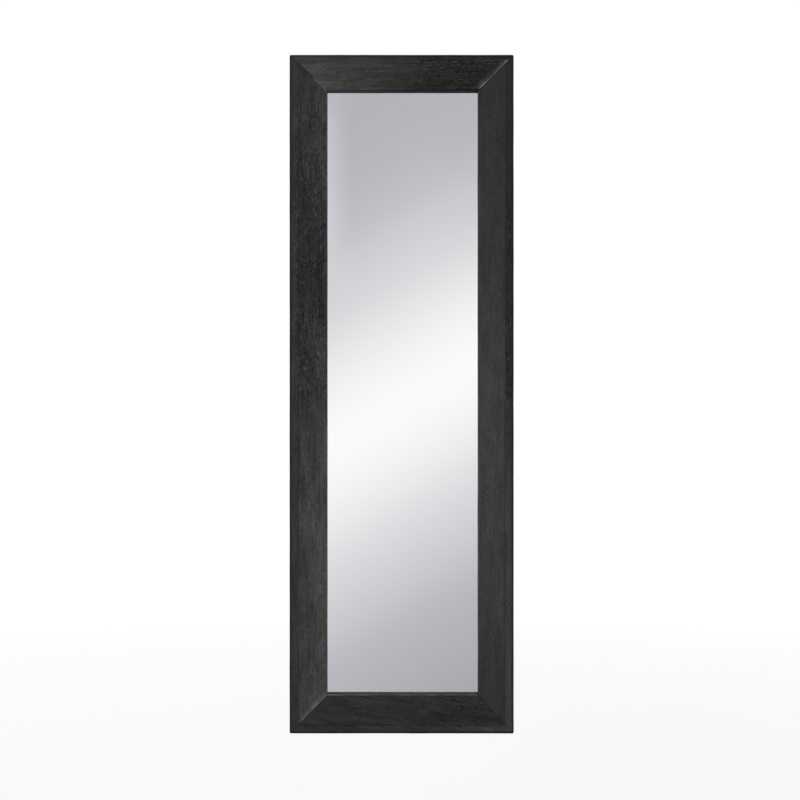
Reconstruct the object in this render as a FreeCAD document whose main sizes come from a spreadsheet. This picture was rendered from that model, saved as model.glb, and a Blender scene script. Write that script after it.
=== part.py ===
import FreeCAD, Part
import Sketcher
import math
import operator
import os
from types import SimpleNamespace

# Pull-out wardrobe mirror.
#
# A black stained wood frame with mitred corners holds a full-length mirror. The frame is hung on three
# butt hinges from a carrier of two steel tubes, and the carrier rides on two telescopic ball slides that
# are screwed to the side panel of a wardrobe. The mirror is pulled out along +X, and then swings away
# from the panel about its leading edge until it faces along +X.
#
# Millimetres, +Z up. The origin is the centre of the four screw holes, on the face of the side panel.
# The panel is the plane Y = 0 and everything stands in front of it, towards -Y. Small screws are left
# out: the holes of the slides and the hinges show where they go. Small round pieces that repeat, such as
# balls and bolts, have few sides.

DRIVING_SIZES = {
    # Wood frame. Its width is the slide's length and what the frame covers at each end of the slide.
    "leading_overhang": 20.0,
    "trailing_overhang": 30.0,
    "mirror_height": 1210.0,
    "frame_thickness": 24.0,
    "left_stile_width": 67.0,
    "right_stile_width": 63.5,
    "top_rail_width": 64.5,
    "bottom_rail_width": 69.5,
    "bevel_width": 15.0,
    "bevel_drop": 3.0,
    "outer_edge_radius": 2.0,
    "sight_edge_radius": 1.5,
    "lip_depth": 12.5,
    "glass_rabbet_width": 8.0,
    "board_ledge_width": 9.0,
    # Loose tongues in the mitres
    "tongue_length": 44.0,
    "tongue_width": 20.0,
    "tongue_thickness": 4.0,
    "tongue_depth": 13.0,
    "tongue_position": 0.42,
    "tongue_slack": 0.1,
    # Glass and what backs it
    "glass_thickness": 4.0,
    "glass_arris": 0.5,
    "glass_gap": 2.0,
    "foam_thickness": 1.0,
    "board_thickness": 3.0,
    "board_gap": 1.0,
    "block_length": 25.0,
    "block_inset": 0.2,
    "block_offset": 80.0,
    # Holes in the side panel: their height apart, and where they are in each slide
    "hole_spacing_z": 640.0,
    "hole_radius": 2.25,
    "front_hole_inset": 15.0,
    "rear_hole_inset": 47.0,
    "access_hole_radius": 5.0,
    # Telescopic slides
    "slide_length": 350.0,
    "slide_height": 45.6,
    "slide_thickness": 12.7,
    "sheet_thickness": 1.5,
    "bend_radius": 1.8,
    "screw_head_space": 2.2,
    "cabinet_flange_setback": 2.0,
    "middle_flange_setback": 1.2,
    "drawer_flange_gap": 0.8,
    "ball_radius": 1.6,
    "ball_play": 0.05,
    "groove_depth": 0.45,
    "ball_count": 8.0,
    "retainer_thickness": 0.8,
    "retainer_end_play": 4.5,
    "buffer_length": 5.7,
    "buffer_width": 16.0,
    "running_gap": 0.3,
    "stop_length": 6.0,
    "stop_gap": 0.6,
    "stop_offset": 11.0,
    "stop_width": 5.0,
    "slot_length": 12.0,
    "slot_radius": 2.3,
    "slot_inset": 32.0,
    # Carrier
    "tube_depth": 15.0,
    "tube_wall": 1.5,
    "tube_corner_radius": 2.0,
    "tube_setback": 105.0,
    "leading_tube_width": 40.0,
    "trailing_tube_width": 30.0,
    "cap_head": 2.0,
    "cap_plug": 12.0,
    "cap_slack": 0.1,
    # Hexagon bolts that hold the tubes to the slides
    "bolt_radius": 2.0,
    "bolt_slack": 0.1,
    "bolt_head_height": 2.8,
    "bolt_proud": 0.3,
    "hexagon_width": 7.0,
    "nut_height": 3.2,
    # Butt hinges
    "pin_radius": 2.0,
    "pin_clearance": 0.03,
    "pin_head_radius": 3.1,
    "pin_head_height": 1.2,
    "leaf_thickness": 1.5,
    "leaf_width": 25.0,
    "leaf_height": 60.0,
    "leaf_hole_radius": 2.0,
    "leaf_hole_edge": 6.5,
    "leaf_hole_end": 9.0,
    "leaf_hole_stagger": 7.0,
    "knuckle_gap": 0.3,
    "knuckle_inset": 1.0,
    "hinge_inset": 50.0,
    "swing_gap": 0.5,
    # Catches and bumpers
    "catch_spacing": 500.0,
    "catch_length": 44.0,
    "catch_width": 12.0,
    "catch_corner_radius": 3.5,
    "catch_inset": 7.5,
    "catch_tube_inset": 8.5,
    "magnet_length": 22.0,
    "magnet_width": 6.0,
    "magnet_slack": 0.1,
    "pole_proud": 0.4,
    "pole_thickness": 1.5,
    "strike_length": 32.0,
    "strike_thickness": 1.5,
    "bumper_radius": 5.5,
    "bumper_chamfer": 1.5,
    "bumper_inset": 30.0,
    "bumper_inner_height": 100.0,
    # How far a cutting sketch reaches past the face that it opens
    "cut_margin": 5.0,
}

KNUCKLES = 3
HEXAGON_SIDES = 6
ROUND_SIDES = 8  # of what is round but small
SIGNS = {"+": operator.add, "-": operator.sub, "*": operator.mul, "/": operator.truediv}


class Size:
    """A number together with the spreadsheet expression that gives it."""

    def __init__(self, value, text):
        self.value = value
        self.text = text

    def __add__(self, other):
        return join(self, "+", other)

    def __radd__(self, other):
        return join(other, "+", self)

    def __sub__(self, other):
        return join(self, "-", other)

    def __rsub__(self, other):
        return join(other, "-", self)

    def __mul__(self, other):
        return join(self, "*", other)

    def __rmul__(self, other):
        return join(other, "*", self)

    def __truediv__(self, other):
        return join(self, "/", other)

    def __neg__(self):
        return join(0, "-", self)


def size_of(number):
    return number if isinstance(number, Size) else Size(float(number), repr(float(number)))


def join(left, sign, right):
    left, right = size_of(left), size_of(right)
    return Size(SIGNS[sign](left.value, right.value), f"({left.text} {sign} {right.text})")


def root(size):
    return Size(math.sqrt(size.value), f"sqrt({size.text})")


def start_document():
    """A new document with the driving sizes in a spreadsheet, and the sizes as Size values."""
    document = FreeCAD.newDocument("pull_out_mirror")
    sheet = document.addObject("Spreadsheet::Sheet", "Sizes")
    sizes = {}
    for row, (name, number) in enumerate(DRIVING_SIZES.items(), start=1):
        sheet.set(f"A{row}", name)
        sheet.set(f"B{row}", str(number))
        sheet.setAlias(f"B{row}", name)
        sizes[name] = Size(number, f"Sizes.{name}")
    document.recompute()
    return document, SimpleNamespace(**sizes)


doc, dim = start_document()
nodes = {}

# Where things are, worked out from the driving sizes.
#
# Along X. The holes are 288 mm apart, nine steps of a wardrobe panel's 32 mm line of holes.
hole_spacing_x = dim.slide_length - dim.front_hole_inset - dim.rear_hole_inset
slide_front = hole_spacing_x / 2 + dim.front_hole_inset
slide_rear = slide_front - dim.slide_length
half_travel = dim.slide_length / 2
member_rear = slide_rear + dim.buffer_length + dim.running_gap
member_length = slide_front - member_rear
retainer_length = member_length - half_travel - 2 * dim.retainer_end_play
mirror_width = dim.trailing_overhang + dim.slide_length + dim.leading_overhang
leading_edge = slide_front + dim.leading_overhang
trailing_edge = leading_edge - mirror_width
opening_left = trailing_edge + dim.left_stile_width
opening_right = leading_edge - dim.right_stile_width
opening_middle = (opening_left + opening_right) / 2
board_rabbet_width = dim.glass_rabbet_width + dim.board_ledge_width
knuckle_radius = dim.pin_radius + dim.leaf_thickness
pin_x = leading_edge - knuckle_radius - dim.knuckle_inset
leading_tube_left = pin_x + knuckle_radius - dim.swing_gap - dim.leading_tube_width
# The trailing tube stands behind the back of the left stile, where the catches meet it.
catch_x = opening_left - board_rabbet_width - dim.catch_inset
trailing_tube_left = catch_x - dim.catch_tube_inset
# Each bolt is in the middle of where its tube lies on the drawer member.
leading_bolt_x = (leading_tube_left + slide_front) / 2
trailing_bolt_x = (member_rear + trailing_tube_left + dim.trailing_tube_width) / 2

# Along Y, from the panel to the face of the mirror.
tube_back = -dim.slide_thickness
tube_front = tube_back - dim.tube_depth
hinge_gap = 2 * knuckle_radius
pin_y = tube_front - knuckle_radius
frame_back = tube_front - hinge_gap
frame_front = frame_back - dim.frame_thickness
glass_front = frame_front + dim.lip_depth
glass_back = glass_front + dim.glass_thickness
board_front = glass_back + dim.foam_thickness

# Along Z.
frame_top = dim.mirror_height / 2
opening_bottom = dim.bottom_rail_width - frame_top
opening_top = frame_top - dim.top_rail_width
tube_length = dim.mirror_height - 2 * dim.tube_setback
tube_top = tube_length / 2
slide_height_above_origin = dim.hole_spacing_z / 2
hinge_height = tube_top - dim.hinge_inset - dim.leaf_height / 2

# The section of a slide. Heights are halves, above and below its centre line.
middle_web = -dim.sheet_thickness - dim.screw_head_space  # the face towards the panel
middle_web_front = middle_web - dim.sheet_thickness
drawer_web_back = tube_back + dim.sheet_thickness
cabinet_flange_end = tube_back + dim.cabinet_flange_setback
middle_flange_end = tube_back + dim.middle_flange_setback
drawer_flange_end = middle_web_front - dim.drawer_flange_gap
outer_row_y = (middle_web + cabinet_flange_end) / 2
inner_row_y = (drawer_flange_end + middle_flange_end) / 2
retainer_half = middle_web_front - dim.running_gap - inner_row_y
stop_height = dim.screw_head_space - dim.stop_gap
ball_seat = dim.ball_radius + dim.ball_play - dim.groove_depth  # ball centre to a flange's face
cabinet_half = dim.slide_height / 2
outer_ball_height = cabinet_half - dim.sheet_thickness - ball_seat
middle_half = outer_ball_height - ball_seat
inner_ball_height = middle_half - dim.sheet_thickness - ball_seat
drawer_half = inner_ball_height - ball_seat

# The pole plates of a catch's magnet stop just short of the strike plate.
catch_height = hinge_gap - dim.strike_thickness - dim.running_gap - dim.pole_proud


def place(thing, x=0, y=0, z=0, turn=None):
    """Puts an object at x, y, z, turned by a FreeCAD.Rotation if one is given."""
    thing.Placement = FreeCAD.Placement(FreeCAD.Vector(), turn or FreeCAD.Rotation())
    for axis, number in (("x", x), ("y", y), ("z", z)):
        size = size_of(number)
        thing.setExpression(f"Placement.Base.{axis}", size.text)


def about_y(degrees):
    return FreeCAD.Rotation(FreeCAD.Vector(0, 1, 0), degrees)


def node(name, thing):
    """Declares an object as a sub-part: its label names the file."""
    thing.Label = name
    nodes[name] = thing
    return thing


def new_body(name):
    body = doc.addObject("PartDesign::Body", name)
    body.AllowCompound = True
    return body


def new_sketch(body, plane, offset=0):
    """A sketch on one of the body's own origin planes, moved along the plane's normal by offset."""
    sketch = body.newObject("Sketcher::SketchObject", f"{body.Name}_{plane}")
    support = [f for f in body.Origin.OriginFeatures if f.Role == f"{plane}_Plane"]
    sketch.AttachmentSupport = [(support[0], "")]
    sketch.MapMode = "FlatFace"
    if size_of(offset).value:
        sketch.setExpression("AttachmentOffset.Base.z", size_of(offset).text)
    return sketch


def hold(sketch, kind, element, vertex, number):
    """A distance from the sketch's origin to a vertex, bound to the spreadsheet."""
    size = size_of(number)
    index = sketch.addConstraint(
        Sketcher.Constraint(kind, -1, 1, element, vertex, size.value)
    )
    name = f"{kind}{element}_{vertex}"
    sketch.renameConstraint(index, name)
    if "Sizes." in size.text:
        sketch.setExpression(f"Constraints.{name}", size.text)


def draw_polygon(sketch, corners):
    """A closed outline through corners, each held at its place."""
    first = sketch.GeometryCount
    count = len(corners)
    points = [FreeCAD.Vector(size_of(x).value, size_of(y).value, 0) for x, y in corners]
    for i in range(count):
        sketch.addGeometry(Part.LineSegment(points[i], points[(i + 1) % count]), False)
    for i in range(count):
        sketch.addConstraint(
            Sketcher.Constraint("Coincident", first + i, 2, first + (i + 1) % count, 1)
        )
    for i, (x, y) in enumerate(corners):
        hold(sketch, "DistanceX", first + i, 1, x)
        hold(sketch, "DistanceY", first + i, 1, y)


def draw_box(sketch, left, bottom, right, top):
    draw_polygon(sketch, [(left, bottom), (right, bottom), (right, top), (left, top)])


def draw_regular(sketch, sides, radius, x=0, y=0):
    """A regular polygon about x, y with its corners on a circle of the radius."""
    corners = []
    for i in range(sides):
        angle = 2 * math.pi * (i + 0.5) / sides
        across, up = round(math.cos(angle), 9), round(math.sin(angle), 9)
        corners.append((x + radius * across, y + radius * up))
    draw_polygon(sketch, corners)


def draw_circle(sketch, x, y, radius):
    centre = FreeCAD.Vector(size_of(x).value, size_of(y).value, 0)
    circle = sketch.addGeometry(
        Part.Circle(centre, FreeCAD.Vector(0, 0, 1), radius.value), False
    )
    hold(sketch, "DistanceX", circle, 3, x)
    hold(sketch, "DistanceY", circle, 3, y)
    index = sketch.addConstraint(Sketcher.Constraint("Radius", circle, radius.value))
    sketch.renameConstraint(index, f"Radius{circle}")
    sketch.setExpression(f"Constraints.Radius{circle}", radius.text)


def draw_slot(sketch, middle, length, radius):
    """An oblong with round ends along the sketch's X axis, with its middle at X = middle."""
    first = sketch.GeometryCount
    half = length / 2 - radius
    x, reach, high = middle.value, half.value, radius.value
    for side in (1, -1):
        start = FreeCAD.Vector(x + side * reach, -side * high, 0)
        through = FreeCAD.Vector(x + side * (reach + high), 0, 0)
        end = FreeCAD.Vector(x + side * reach, side * high, 0)
        sketch.addGeometry(Part.Arc(start, through, end), False)
        opposite = end - FreeCAD.Vector(2 * side * reach, 0, 0)
        sketch.addGeometry(Part.LineSegment(end, opposite), False)
    for i in range(4):
        follower = first + (i + 1) % 4
        sketch.addConstraint(Sketcher.Constraint("Coincident", first + i, 2, follower, 1))
    for arc, side in ((first, 1), (first + 2, -1)):
        hold(sketch, "DistanceX", arc, 3, middle + side * half)
        for vertex, up in ((1, -side), (2, side)):
            hold(sketch, "DistanceX", arc, vertex, middle + side * half)
            hold(sketch, "DistanceY", arc, vertex, up * radius)


def pad(sketch, length, symmetric=False, reverse=False):
    body = sketch.getParentGeoFeatureGroup()
    feature = body.newObject("PartDesign::Pad", f"{body.Name}_pad")
    feature.Profile = sketch
    feature.SideType = "Symmetric" if symmetric else "One side"
    feature.Reversed = reverse
    feature.setExpression("Length", length.text)
    doc.recompute()
    return feature


def pocket(sketch, length=None):
    """A cut to both sides of the sketch: right through the body, or length deep in all."""
    body = sketch.getParentGeoFeatureGroup()
    before = body.Shape.Volume
    feature = body.newObject("PartDesign::Pocket", f"{body.Name}_pocket")
    feature.Profile = sketch
    feature.SideType = "Symmetric"
    feature.Type = "ThroughAll" if length is None else "Length"
    if length is not None:
        feature.setExpression("Length", length.text)
    doc.recompute()
    if body.Shape.Volume >= before:
        raise RuntimeError(f"{feature.Name} cut nothing from {body.Name}")
    return feature


def revolve(sketch):
    """A full turn about the sketch's vertical axis."""
    body = sketch.getParentGeoFeatureGroup()
    feature = body.newObject("PartDesign::Revolution", f"{body.Name}_turn")
    feature.Profile = sketch
    feature.ReferenceAxis = (sketch, ["V_Axis"])
    feature.Angle = 360
    doc.recompute()
    return feature


def dress(body, kind, amount, chosen):
    """A PartDesign Fillet or Chamfer on the body's edges for which chosen(edge) is true."""
    base = body.Tip
    names = [f"Edge{i}" for i, edge in enumerate(base.Shape.Edges, start=1) if chosen(edge)]
    if not names:
        raise RuntimeError(f"no edge of {body.Name} was chosen for its {kind}")
    feature = body.newObject(f"PartDesign::{kind}", f"{body.Name}_{kind}")
    feature.Base = (base, names)
    amount_property = "Radius" if kind == "Fillet" else "Size"
    feature.setExpression(amount_property, amount.text)
    doc.recompute()
    return feature


def along(direction, *places):
    """Chooses edges that run along X, Y or Z through one of the places in the other two axes."""
    axis = "XYZ".index(direction)
    others = [i for i in range(3) if i != axis]
    wanted = [[size_of(number).value for number in point] for point in places]

    def chosen(edge):
        start, end = edge.Vertexes[0].Point, edge.Vertexes[-1].Point
        if any(abs(start[i] - end[i]) > 1e-6 for i in others):
            return False
        found = [start[i] for i in others]
        return any(math.dist(found, point) < 1e-4 for point in wanted)

    return chosen


def box_corners(left, bottom, right, top):
    return [(left, bottom), (right, bottom), (right, top), (left, top)]


def group(name, template, places):
    """A sub-part of separate solids: the template at each (x, y, z)."""
    compound = doc.addObject("Part::Compound", name)
    links = []
    for spot in places:
        link = doc.addObject("App::Link", f"{template.Name}_at")
        link.LinkedObject = template
        place(link, *spot)
        links.append(link)
    compound.Links = links
    return node(name, compound)


# The wood frame


def frame_member(name, width, length, start_width, end_width):
    """
    A mitred member. Its own X runs from the outer edge inwards, Y from the face to the back and Z along
    it. start_width and end_width are the widths of the members that it meets at Z = 0 and at its end.
    """
    body = new_body(name)
    rabbet = width - dim.glass_rabbet_width
    ledge = width - board_rabbet_width
    glass_depth = dim.lip_depth
    ledge_depth = glass_depth + dim.glass_thickness + dim.foam_thickness
    profile = new_sketch(body, "XY")
    draw_polygon(
        profile,
        [
            (0, dim.bevel_drop),
            (dim.bevel_width, 0),
            (width, 0),
            (width, glass_depth),
            (rabbet, glass_depth),
            (rabbet, ledge_depth),
            (ledge, ledge_depth),
            (ledge, dim.frame_thickness),
            (0, dim.frame_thickness),
        ],
    )
    pad(profile, length)
    dress(body, "Fillet", dim.sight_edge_radius, along("Z", (width, 0)))
    outer = along("Z", (0, dim.bevel_drop), (0, dim.frame_thickness))
    dress(body, "Fillet", dim.outer_edge_radius, outer)
    for neighbour, from_end in ((start_width, False), (end_width, True)):
        cut_mitre(body, width, length, neighbour, from_end)
    return node(name, body)


def cut_mitre(body, width, length, neighbour, from_end):
    """Cuts one end along the line from the outer corner to the inner corner, with a slot for the tongue."""

    def at(across, up):
        return (across, length - up) if from_end else (across, up)

    past = width + dim.cut_margin
    waste = new_sketch(body, "XZ")
    draw_polygon(
        waste,
        [
            at(0, 0),
            at(past, neighbour * past / width),
            at(past, -dim.cut_margin),
            at(0, -dim.cut_margin),
        ],
    )
    pocket(waste)

    mitre_length = root(width * width + neighbour * neighbour)
    across, up = width / mitre_length, neighbour / mitre_length
    middle = dim.tongue_position * mitre_length
    start = middle - dim.tongue_length / 2 - dim.tongue_slack
    end = middle + dim.tongue_length / 2 + dim.tongue_slack
    deep = dim.tongue_width / 2 + dim.tongue_slack
    corners = []
    for run, depth in ((start, -deep), (end, -deep), (end, deep), (start, deep)):
        corners.append(at(run * across - depth * up, run * up + depth * across))
    slot = new_sketch(body, "XZ", -dim.tongue_depth)
    draw_polygon(slot, corners)
    pocket(slot, dim.tongue_thickness + 2 * dim.tongue_slack)


def mitre_tongues():
    """The loose tongue of each mitre, in its slot."""
    half_length, half_width = dim.tongue_length / 2, dim.tongue_width / 2
    middle_y = frame_front + dim.tongue_depth
    tongues = []
    for stile, side, edge in (
        (dim.left_stile_width, 1, trailing_edge),
        (dim.right_stile_width, -1, leading_edge),
    ):
        for rail, up, end in (
            (dim.bottom_rail_width, 1, -frame_top),
            (dim.top_rail_width, -1, frame_top),
        ):
            mitre_length = root(stile * stile + rail * rail)
            across, rise = side * stile / mitre_length, up * rail / mitre_length
            middle_x = edge + side * dim.tongue_position * stile
            middle_z = end + up * dim.tongue_position * rail
            corners = []
            for a, b in ((-1, -1), (1, -1), (1, 1), (-1, 1)):
                x = middle_x + a * half_length * across - b * half_width * rise
                z = middle_z + a * half_length * rise + b * half_width * across
                corners.append((x, z))
            body = new_body("tongue")
            sketch = new_sketch(body, "XZ")
            draw_polygon(sketch, corners)
            pad(sketch, dim.tongue_thickness, symmetric=True)
            place(body, 0, middle_y, 0)
            tongues.append(body)
    compound = doc.addObject("Part::Compound", "mitre_tongues")
    compound.Links = tongues
    node("mitre_tongues", compound)


def wood_frame():
    """Two stiles and two rails of different widths, mitred from corner to corner."""
    length, width = dim.mirror_height, mirror_width
    left, right = dim.left_stile_width, dim.right_stile_width
    top, bottom = dim.top_rail_width, dim.bottom_rail_width
    member = frame_member("left_stile", left, length, bottom, top)
    place(member, trailing_edge, frame_front, -frame_top)
    member = frame_member("top_rail", top, width, left, right)
    place(member, trailing_edge, frame_front, frame_top, about_y(90))
    member = frame_member("right_stile", right, length, top, bottom)
    place(member, leading_edge, frame_front, frame_top, about_y(180))
    member = frame_member("bottom_rail", bottom, width, right, left)
    place(member, leading_edge, frame_front, -frame_top, about_y(-90))
    mitre_tongues()


# The glass and what backs it


def sheet_in_rabbet(name, front, thickness, reach):
    """A flat sheet that reaches past the opening by reach on every side."""
    body = new_body(name)
    sketch = new_sketch(body, "XZ")
    left, right = opening_left - reach, opening_right + reach
    draw_box(sketch, left, opening_bottom - reach, right, opening_top + reach)
    pad(sketch, thickness, reverse=True)
    place(body, 0, front, 0)
    return node(name, body)


def glazing():
    """The mirror on its setting blocks, a foam sheet, and a board that closes the back."""
    reach = dim.glass_rabbet_width - dim.glass_gap
    glass = sheet_in_rabbet("mirror_glass", glass_front, dim.glass_thickness, reach)
    dress(glass, "Chamfer", dim.glass_arris, lambda edge: edge.Length > dim.glass_thickness.value)
    sheet_in_rabbet("foam_sheet", glass_back, dim.foam_thickness, reach)
    board_reach = board_rabbet_width - dim.board_gap
    sheet_in_rabbet("backing_board", board_front, dim.board_thickness, board_reach)

    block = new_body("setting_block")
    sketch = new_sketch(block, "XY")
    half = dim.block_length / 2
    draw_box(sketch, -half, 0, half, dim.glass_thickness - 2 * dim.block_inset)
    pad(sketch, dim.glass_gap)
    spots = []
    for side in (-1, 1):
        across = opening_middle + side * dim.block_offset
        for height in (opening_bottom - dim.glass_rabbet_width, opening_top + reach):
            spots.append((across, glass_front + dim.block_inset, height))
    group("setting_blocks", block, spots)


# Telescopic slides


def channel(name, length, web, flange_end, half):
    """
    A folded channel along X. web is the Y of the outside of its web, and its flanges run from there to
    flange_end, which lies in front of the web or behind it.
    """
    body = new_body(name)
    towards = 1 if size_of(flange_end).value > size_of(web).value else -1
    inner = web + towards * dim.sheet_thickness
    inside = half - dim.sheet_thickness
    sketch = new_sketch(body, "YZ")
    draw_polygon(
        sketch,
        [
            (web, -half),
            (flange_end, -half),
            (flange_end, -inside),
            (inner, -inside),
            (inner, inside),
            (flange_end, inside),
            (flange_end, half),
            (web, half),
        ],
    )
    pad(sketch, length)
    dress(body, "Fillet", dim.bend_radius, along("X", (web, half), (web, -half)))
    return body


def raceways(body, rows):
    """Rolls a ball groove into both flanges for each (y, height) row."""
    sketch = new_sketch(body, "YZ")
    for y, height in rows:
        for side in (-1, 1):
            draw_circle(sketch, y, side * height, dim.ball_radius + dim.ball_play)
    pocket(sketch)


def web_openings(body, start, holes, slots):
    """
    Punches a web. holes are (middle, radius) and slots are middles, along the centre line in the row
    frame, and the body starts at X = start.
    """
    sketch = new_sketch(body, "XZ")
    for middle, radius in holes:
        draw_circle(sketch, middle - start, 0, radius)
    for middle in slots:
        draw_slot(sketch, middle - start, dim.slot_length, dim.slot_radius)
    pocket(sketch)


def web_stop(body, start, web, height, middle):
    """A raised stop on a web, from X = start, with its middle at the height middle."""
    sketch = new_sketch(body, "YZ", start)
    half = dim.stop_width / 2
    draw_box(sketch, web, middle - half, web + height, middle + half)
    pad(sketch, dim.stop_length)


def cabinet_member(name, level):
    """The part of the slide that is screwed to the panel, with a stop for the middle member."""
    body = channel(name, dim.slide_length, 0, cabinet_flange_end, cabinet_half)
    raceways(body, [(outer_row_y, outer_ball_height)])
    holes = [(side * hole_spacing_x / 2, dim.hole_radius) for side in (-1, 1)]
    slots = [side * (hole_spacing_x / 2 - dim.slot_inset) for side in (-1, 1)]
    web_openings(body, slide_rear, holes, slots)
    stop = member_rear - slide_rear + half_travel + 2 * dim.stop_length + dim.running_gap
    web_stop(body, stop, -dim.sheet_thickness, -stop_height, dim.stop_offset)
    place(body, slide_rear, 0, level)
    return node(name, body)


def middle_member(name, level):
    """The member that runs between the other two, by half the travel, with a stop for each of them."""
    body = channel(name, member_length, middle_web, middle_flange_end, middle_half)
    rows = [(outer_row_y, outer_ball_height), (inner_row_y, inner_ball_height)]
    raceways(body, rows)
    access = hole_spacing_x / 2 - half_travel
    web_openings(body, member_rear, [(access, dim.access_hole_radius)], [])
    web_stop(body, dim.stop_length, middle_web, stop_height, dim.stop_offset)
    front_stop = dim.sheet_thickness + half_travel + dim.running_gap
    web_stop(body, front_stop, middle_web_front, -stop_height, 0)
    place(body, member_rear, 0, level)
    return node(name, body)


def drawer_member(name, level):
    """
    The moving member. Its end tongue meets the buffer and the middle member's stop, and a slot behind
    each tube takes the tube's bolt.
    """
    body = channel(name, member_length, tube_back, drawer_flange_end, drawer_half)
    raceways(body, [(inner_row_y, inner_ball_height)])
    tongue = new_sketch(body, "YZ")
    half = dim.buffer_width / 2
    tongue_end = middle_web_front - dim.running_gap
    draw_box(tongue, tube_back + dim.sheet_thickness / 2, -half, tongue_end, half)
    pad(tongue, dim.sheet_thickness)
    web_openings(body, member_rear, [], [leading_bolt_x, trailing_bolt_x])
    place(body, member_rear, 0, level)
    return node(name, body)


def closing_buffer(name, level):
    """A rubber block on the cabinet member's web. The other members close against it."""
    body = new_body(name)
    sketch = new_sketch(body, "XY")
    draw_box(sketch, 0, -dim.sheet_thickness, dim.buffer_length, drawer_web_back)
    pad(sketch, dim.buffer_width, symmetric=True)
    place(body, slide_rear, 0, level)
    return node(name, body)


def ball_columns():
    count = int(dim.ball_count.value)
    pitch = retainer_length / count
    return [(i + 0.5) * pitch for i in range(count)]


def retainer(name, row_y):
    """A flat strip with a window for each ball. It lies at Z = 0 from X = 0."""
    body = new_body(name)
    sketch = new_sketch(body, "XY")
    draw_box(sketch, 0, row_y - retainer_half, retainer_length, row_y + retainer_half)
    pad(sketch, dim.retainer_thickness, symmetric=True)
    windows = new_sketch(body, "XY")
    half = dim.ball_radius + 2 * dim.ball_play
    for x in ball_columns():
        draw_box(windows, x - half, row_y - half, x + half, row_y + half)
    pocket(windows)
    return body


def ball():
    """A ball with few faces: a cube with every edge chamfered, until all corners lie on the ball."""
    body = new_body("ball")
    side = 2 * dim.ball_radius / math.sqrt(5 + 2 * math.sqrt(2))  # of each square face
    half = side * (1 + math.sqrt(2)) / 2
    sketch = new_sketch(body, "XY")
    draw_box(sketch, -half, -half, half, half)
    pad(sketch, 2 * half, symmetric=True)
    dress(body, "Chamfer", side / math.sqrt(2), lambda edge: True)
    return body


def slides():
    """An upper and a lower slide, closed, with their balls and retainers."""
    one_ball = ball()
    rows = {"outer": (outer_row_y, outer_ball_height), "inner": (inner_row_y, inner_ball_height)}
    strips = {row: retainer(f"{row}_retainer", y) for row, (y, _) in rows.items()}
    # At rest the retainers sit where they stay between both members over the whole travel.
    start = member_rear + half_travel / 2 + dim.retainer_end_play
    for name, side in (("lower", -1), ("upper", 1)):
        level = side * slide_height_above_origin
        cabinet_member(f"{name}_cabinet_member", level)
        middle_member(f"{name}_middle_member", level)
        drawer_member(f"{name}_drawer_member", level)
        closing_buffer(f"{name}_closing_buffer", level)
        for row, (y, height) in rows.items():
            heights = (level - height, level + height)
            group(f"{name}_{row}_retainers", strips[row], [(start, 0, z) for z in heights])
            spots = [(start + x, y, z) for z in heights for x in ball_columns()]
            group(f"{name}_{row}_balls", one_ball, spots)


# The carrier


def tube(name, left, width, bolt_x):
    """A rectangular tube that stands against the drawer members, with its bolts at the X of bolt_x."""
    body = new_body(name)
    wall = dim.tube_wall
    sketch = new_sketch(body, "XY")
    draw_box(sketch, 0, -dim.tube_depth, width, 0)
    draw_box(sketch, wall, wall - dim.tube_depth, width - wall, -wall)
    pad(sketch, tube_length)
    corners = box_corners(0, -dim.tube_depth, width, 0)
    dress(body, "Fillet", dim.tube_corner_radius, along("Z", *corners))
    holes = new_sketch(body, "XZ")
    for side in (-1, 1):
        level = tube_top + side * slide_height_above_origin
        draw_regular(holes, ROUND_SIDES, dim.bolt_radius + dim.bolt_slack, bolt_x - left, level)
    pocket(holes)
    place(body, left, tube_back, -tube_top)
    return node(name, body)


def tube_cap(name, width):
    """A plastic cap: a head over the tube's end at Z = 0, and a plug that reaches down into it."""
    body = new_body(name)
    inset = dim.tube_wall + dim.cap_slack
    head = new_sketch(body, "XY")
    draw_box(head, 0, -dim.tube_depth, width, 0)
    pad(head, dim.cap_head)
    corners = box_corners(0, -dim.tube_depth, width, 0)
    dress(body, "Fillet", dim.tube_corner_radius, along("Z", *corners))
    plug = new_sketch(body, "XY")
    draw_box(plug, inset, inset - dim.tube_depth, width - inset, -inset)
    pad(plug, dim.cap_plug, reverse=True)
    return node(name, body)


def bolt():
    """A bolt along Y. The seat of its head is at Y = 0, and its shank goes through a tube and a slide."""
    body = new_body("bolt")
    head = new_sketch(body, "XZ")
    draw_regular(head, HEXAGON_SIDES, dim.hexagon_width / math.sqrt(3))
    pad(head, dim.bolt_head_height)
    shank = new_sketch(body, "XZ")
    draw_regular(shank, ROUND_SIDES, dim.bolt_radius)
    length = dim.tube_depth + dim.sheet_thickness + dim.nut_height + dim.bolt_proud
    pad(shank, length, reverse=True)
    return body


def nut():
    """The bolt's nut, from its seat at Y = 0 towards +Y."""
    body = new_body("nut")
    sketch = new_sketch(body, "XZ")
    draw_regular(sketch, HEXAGON_SIDES, dim.hexagon_width / math.sqrt(3))
    draw_regular(sketch, ROUND_SIDES, dim.bolt_radius + dim.bolt_slack)
    pad(sketch, dim.nut_height, reverse=True)
    return body


def bumper():
    """A rubber bumper on the tube at Y = 0, which reaches almost to the wood frame."""
    body = new_body("bumper")
    sketch = new_sketch(body, "XZ")
    reach = hinge_gap - dim.running_gap
    draw_regular(sketch, ROUND_SIDES, dim.bumper_radius)
    pad(sketch, reach)
    rim = (reach - dim.bumper_chamfer).value
    dress(body, "Chamfer", dim.bumper_chamfer, lambda edge: -edge.CenterOfMass.y > rim)
    return body


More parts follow.
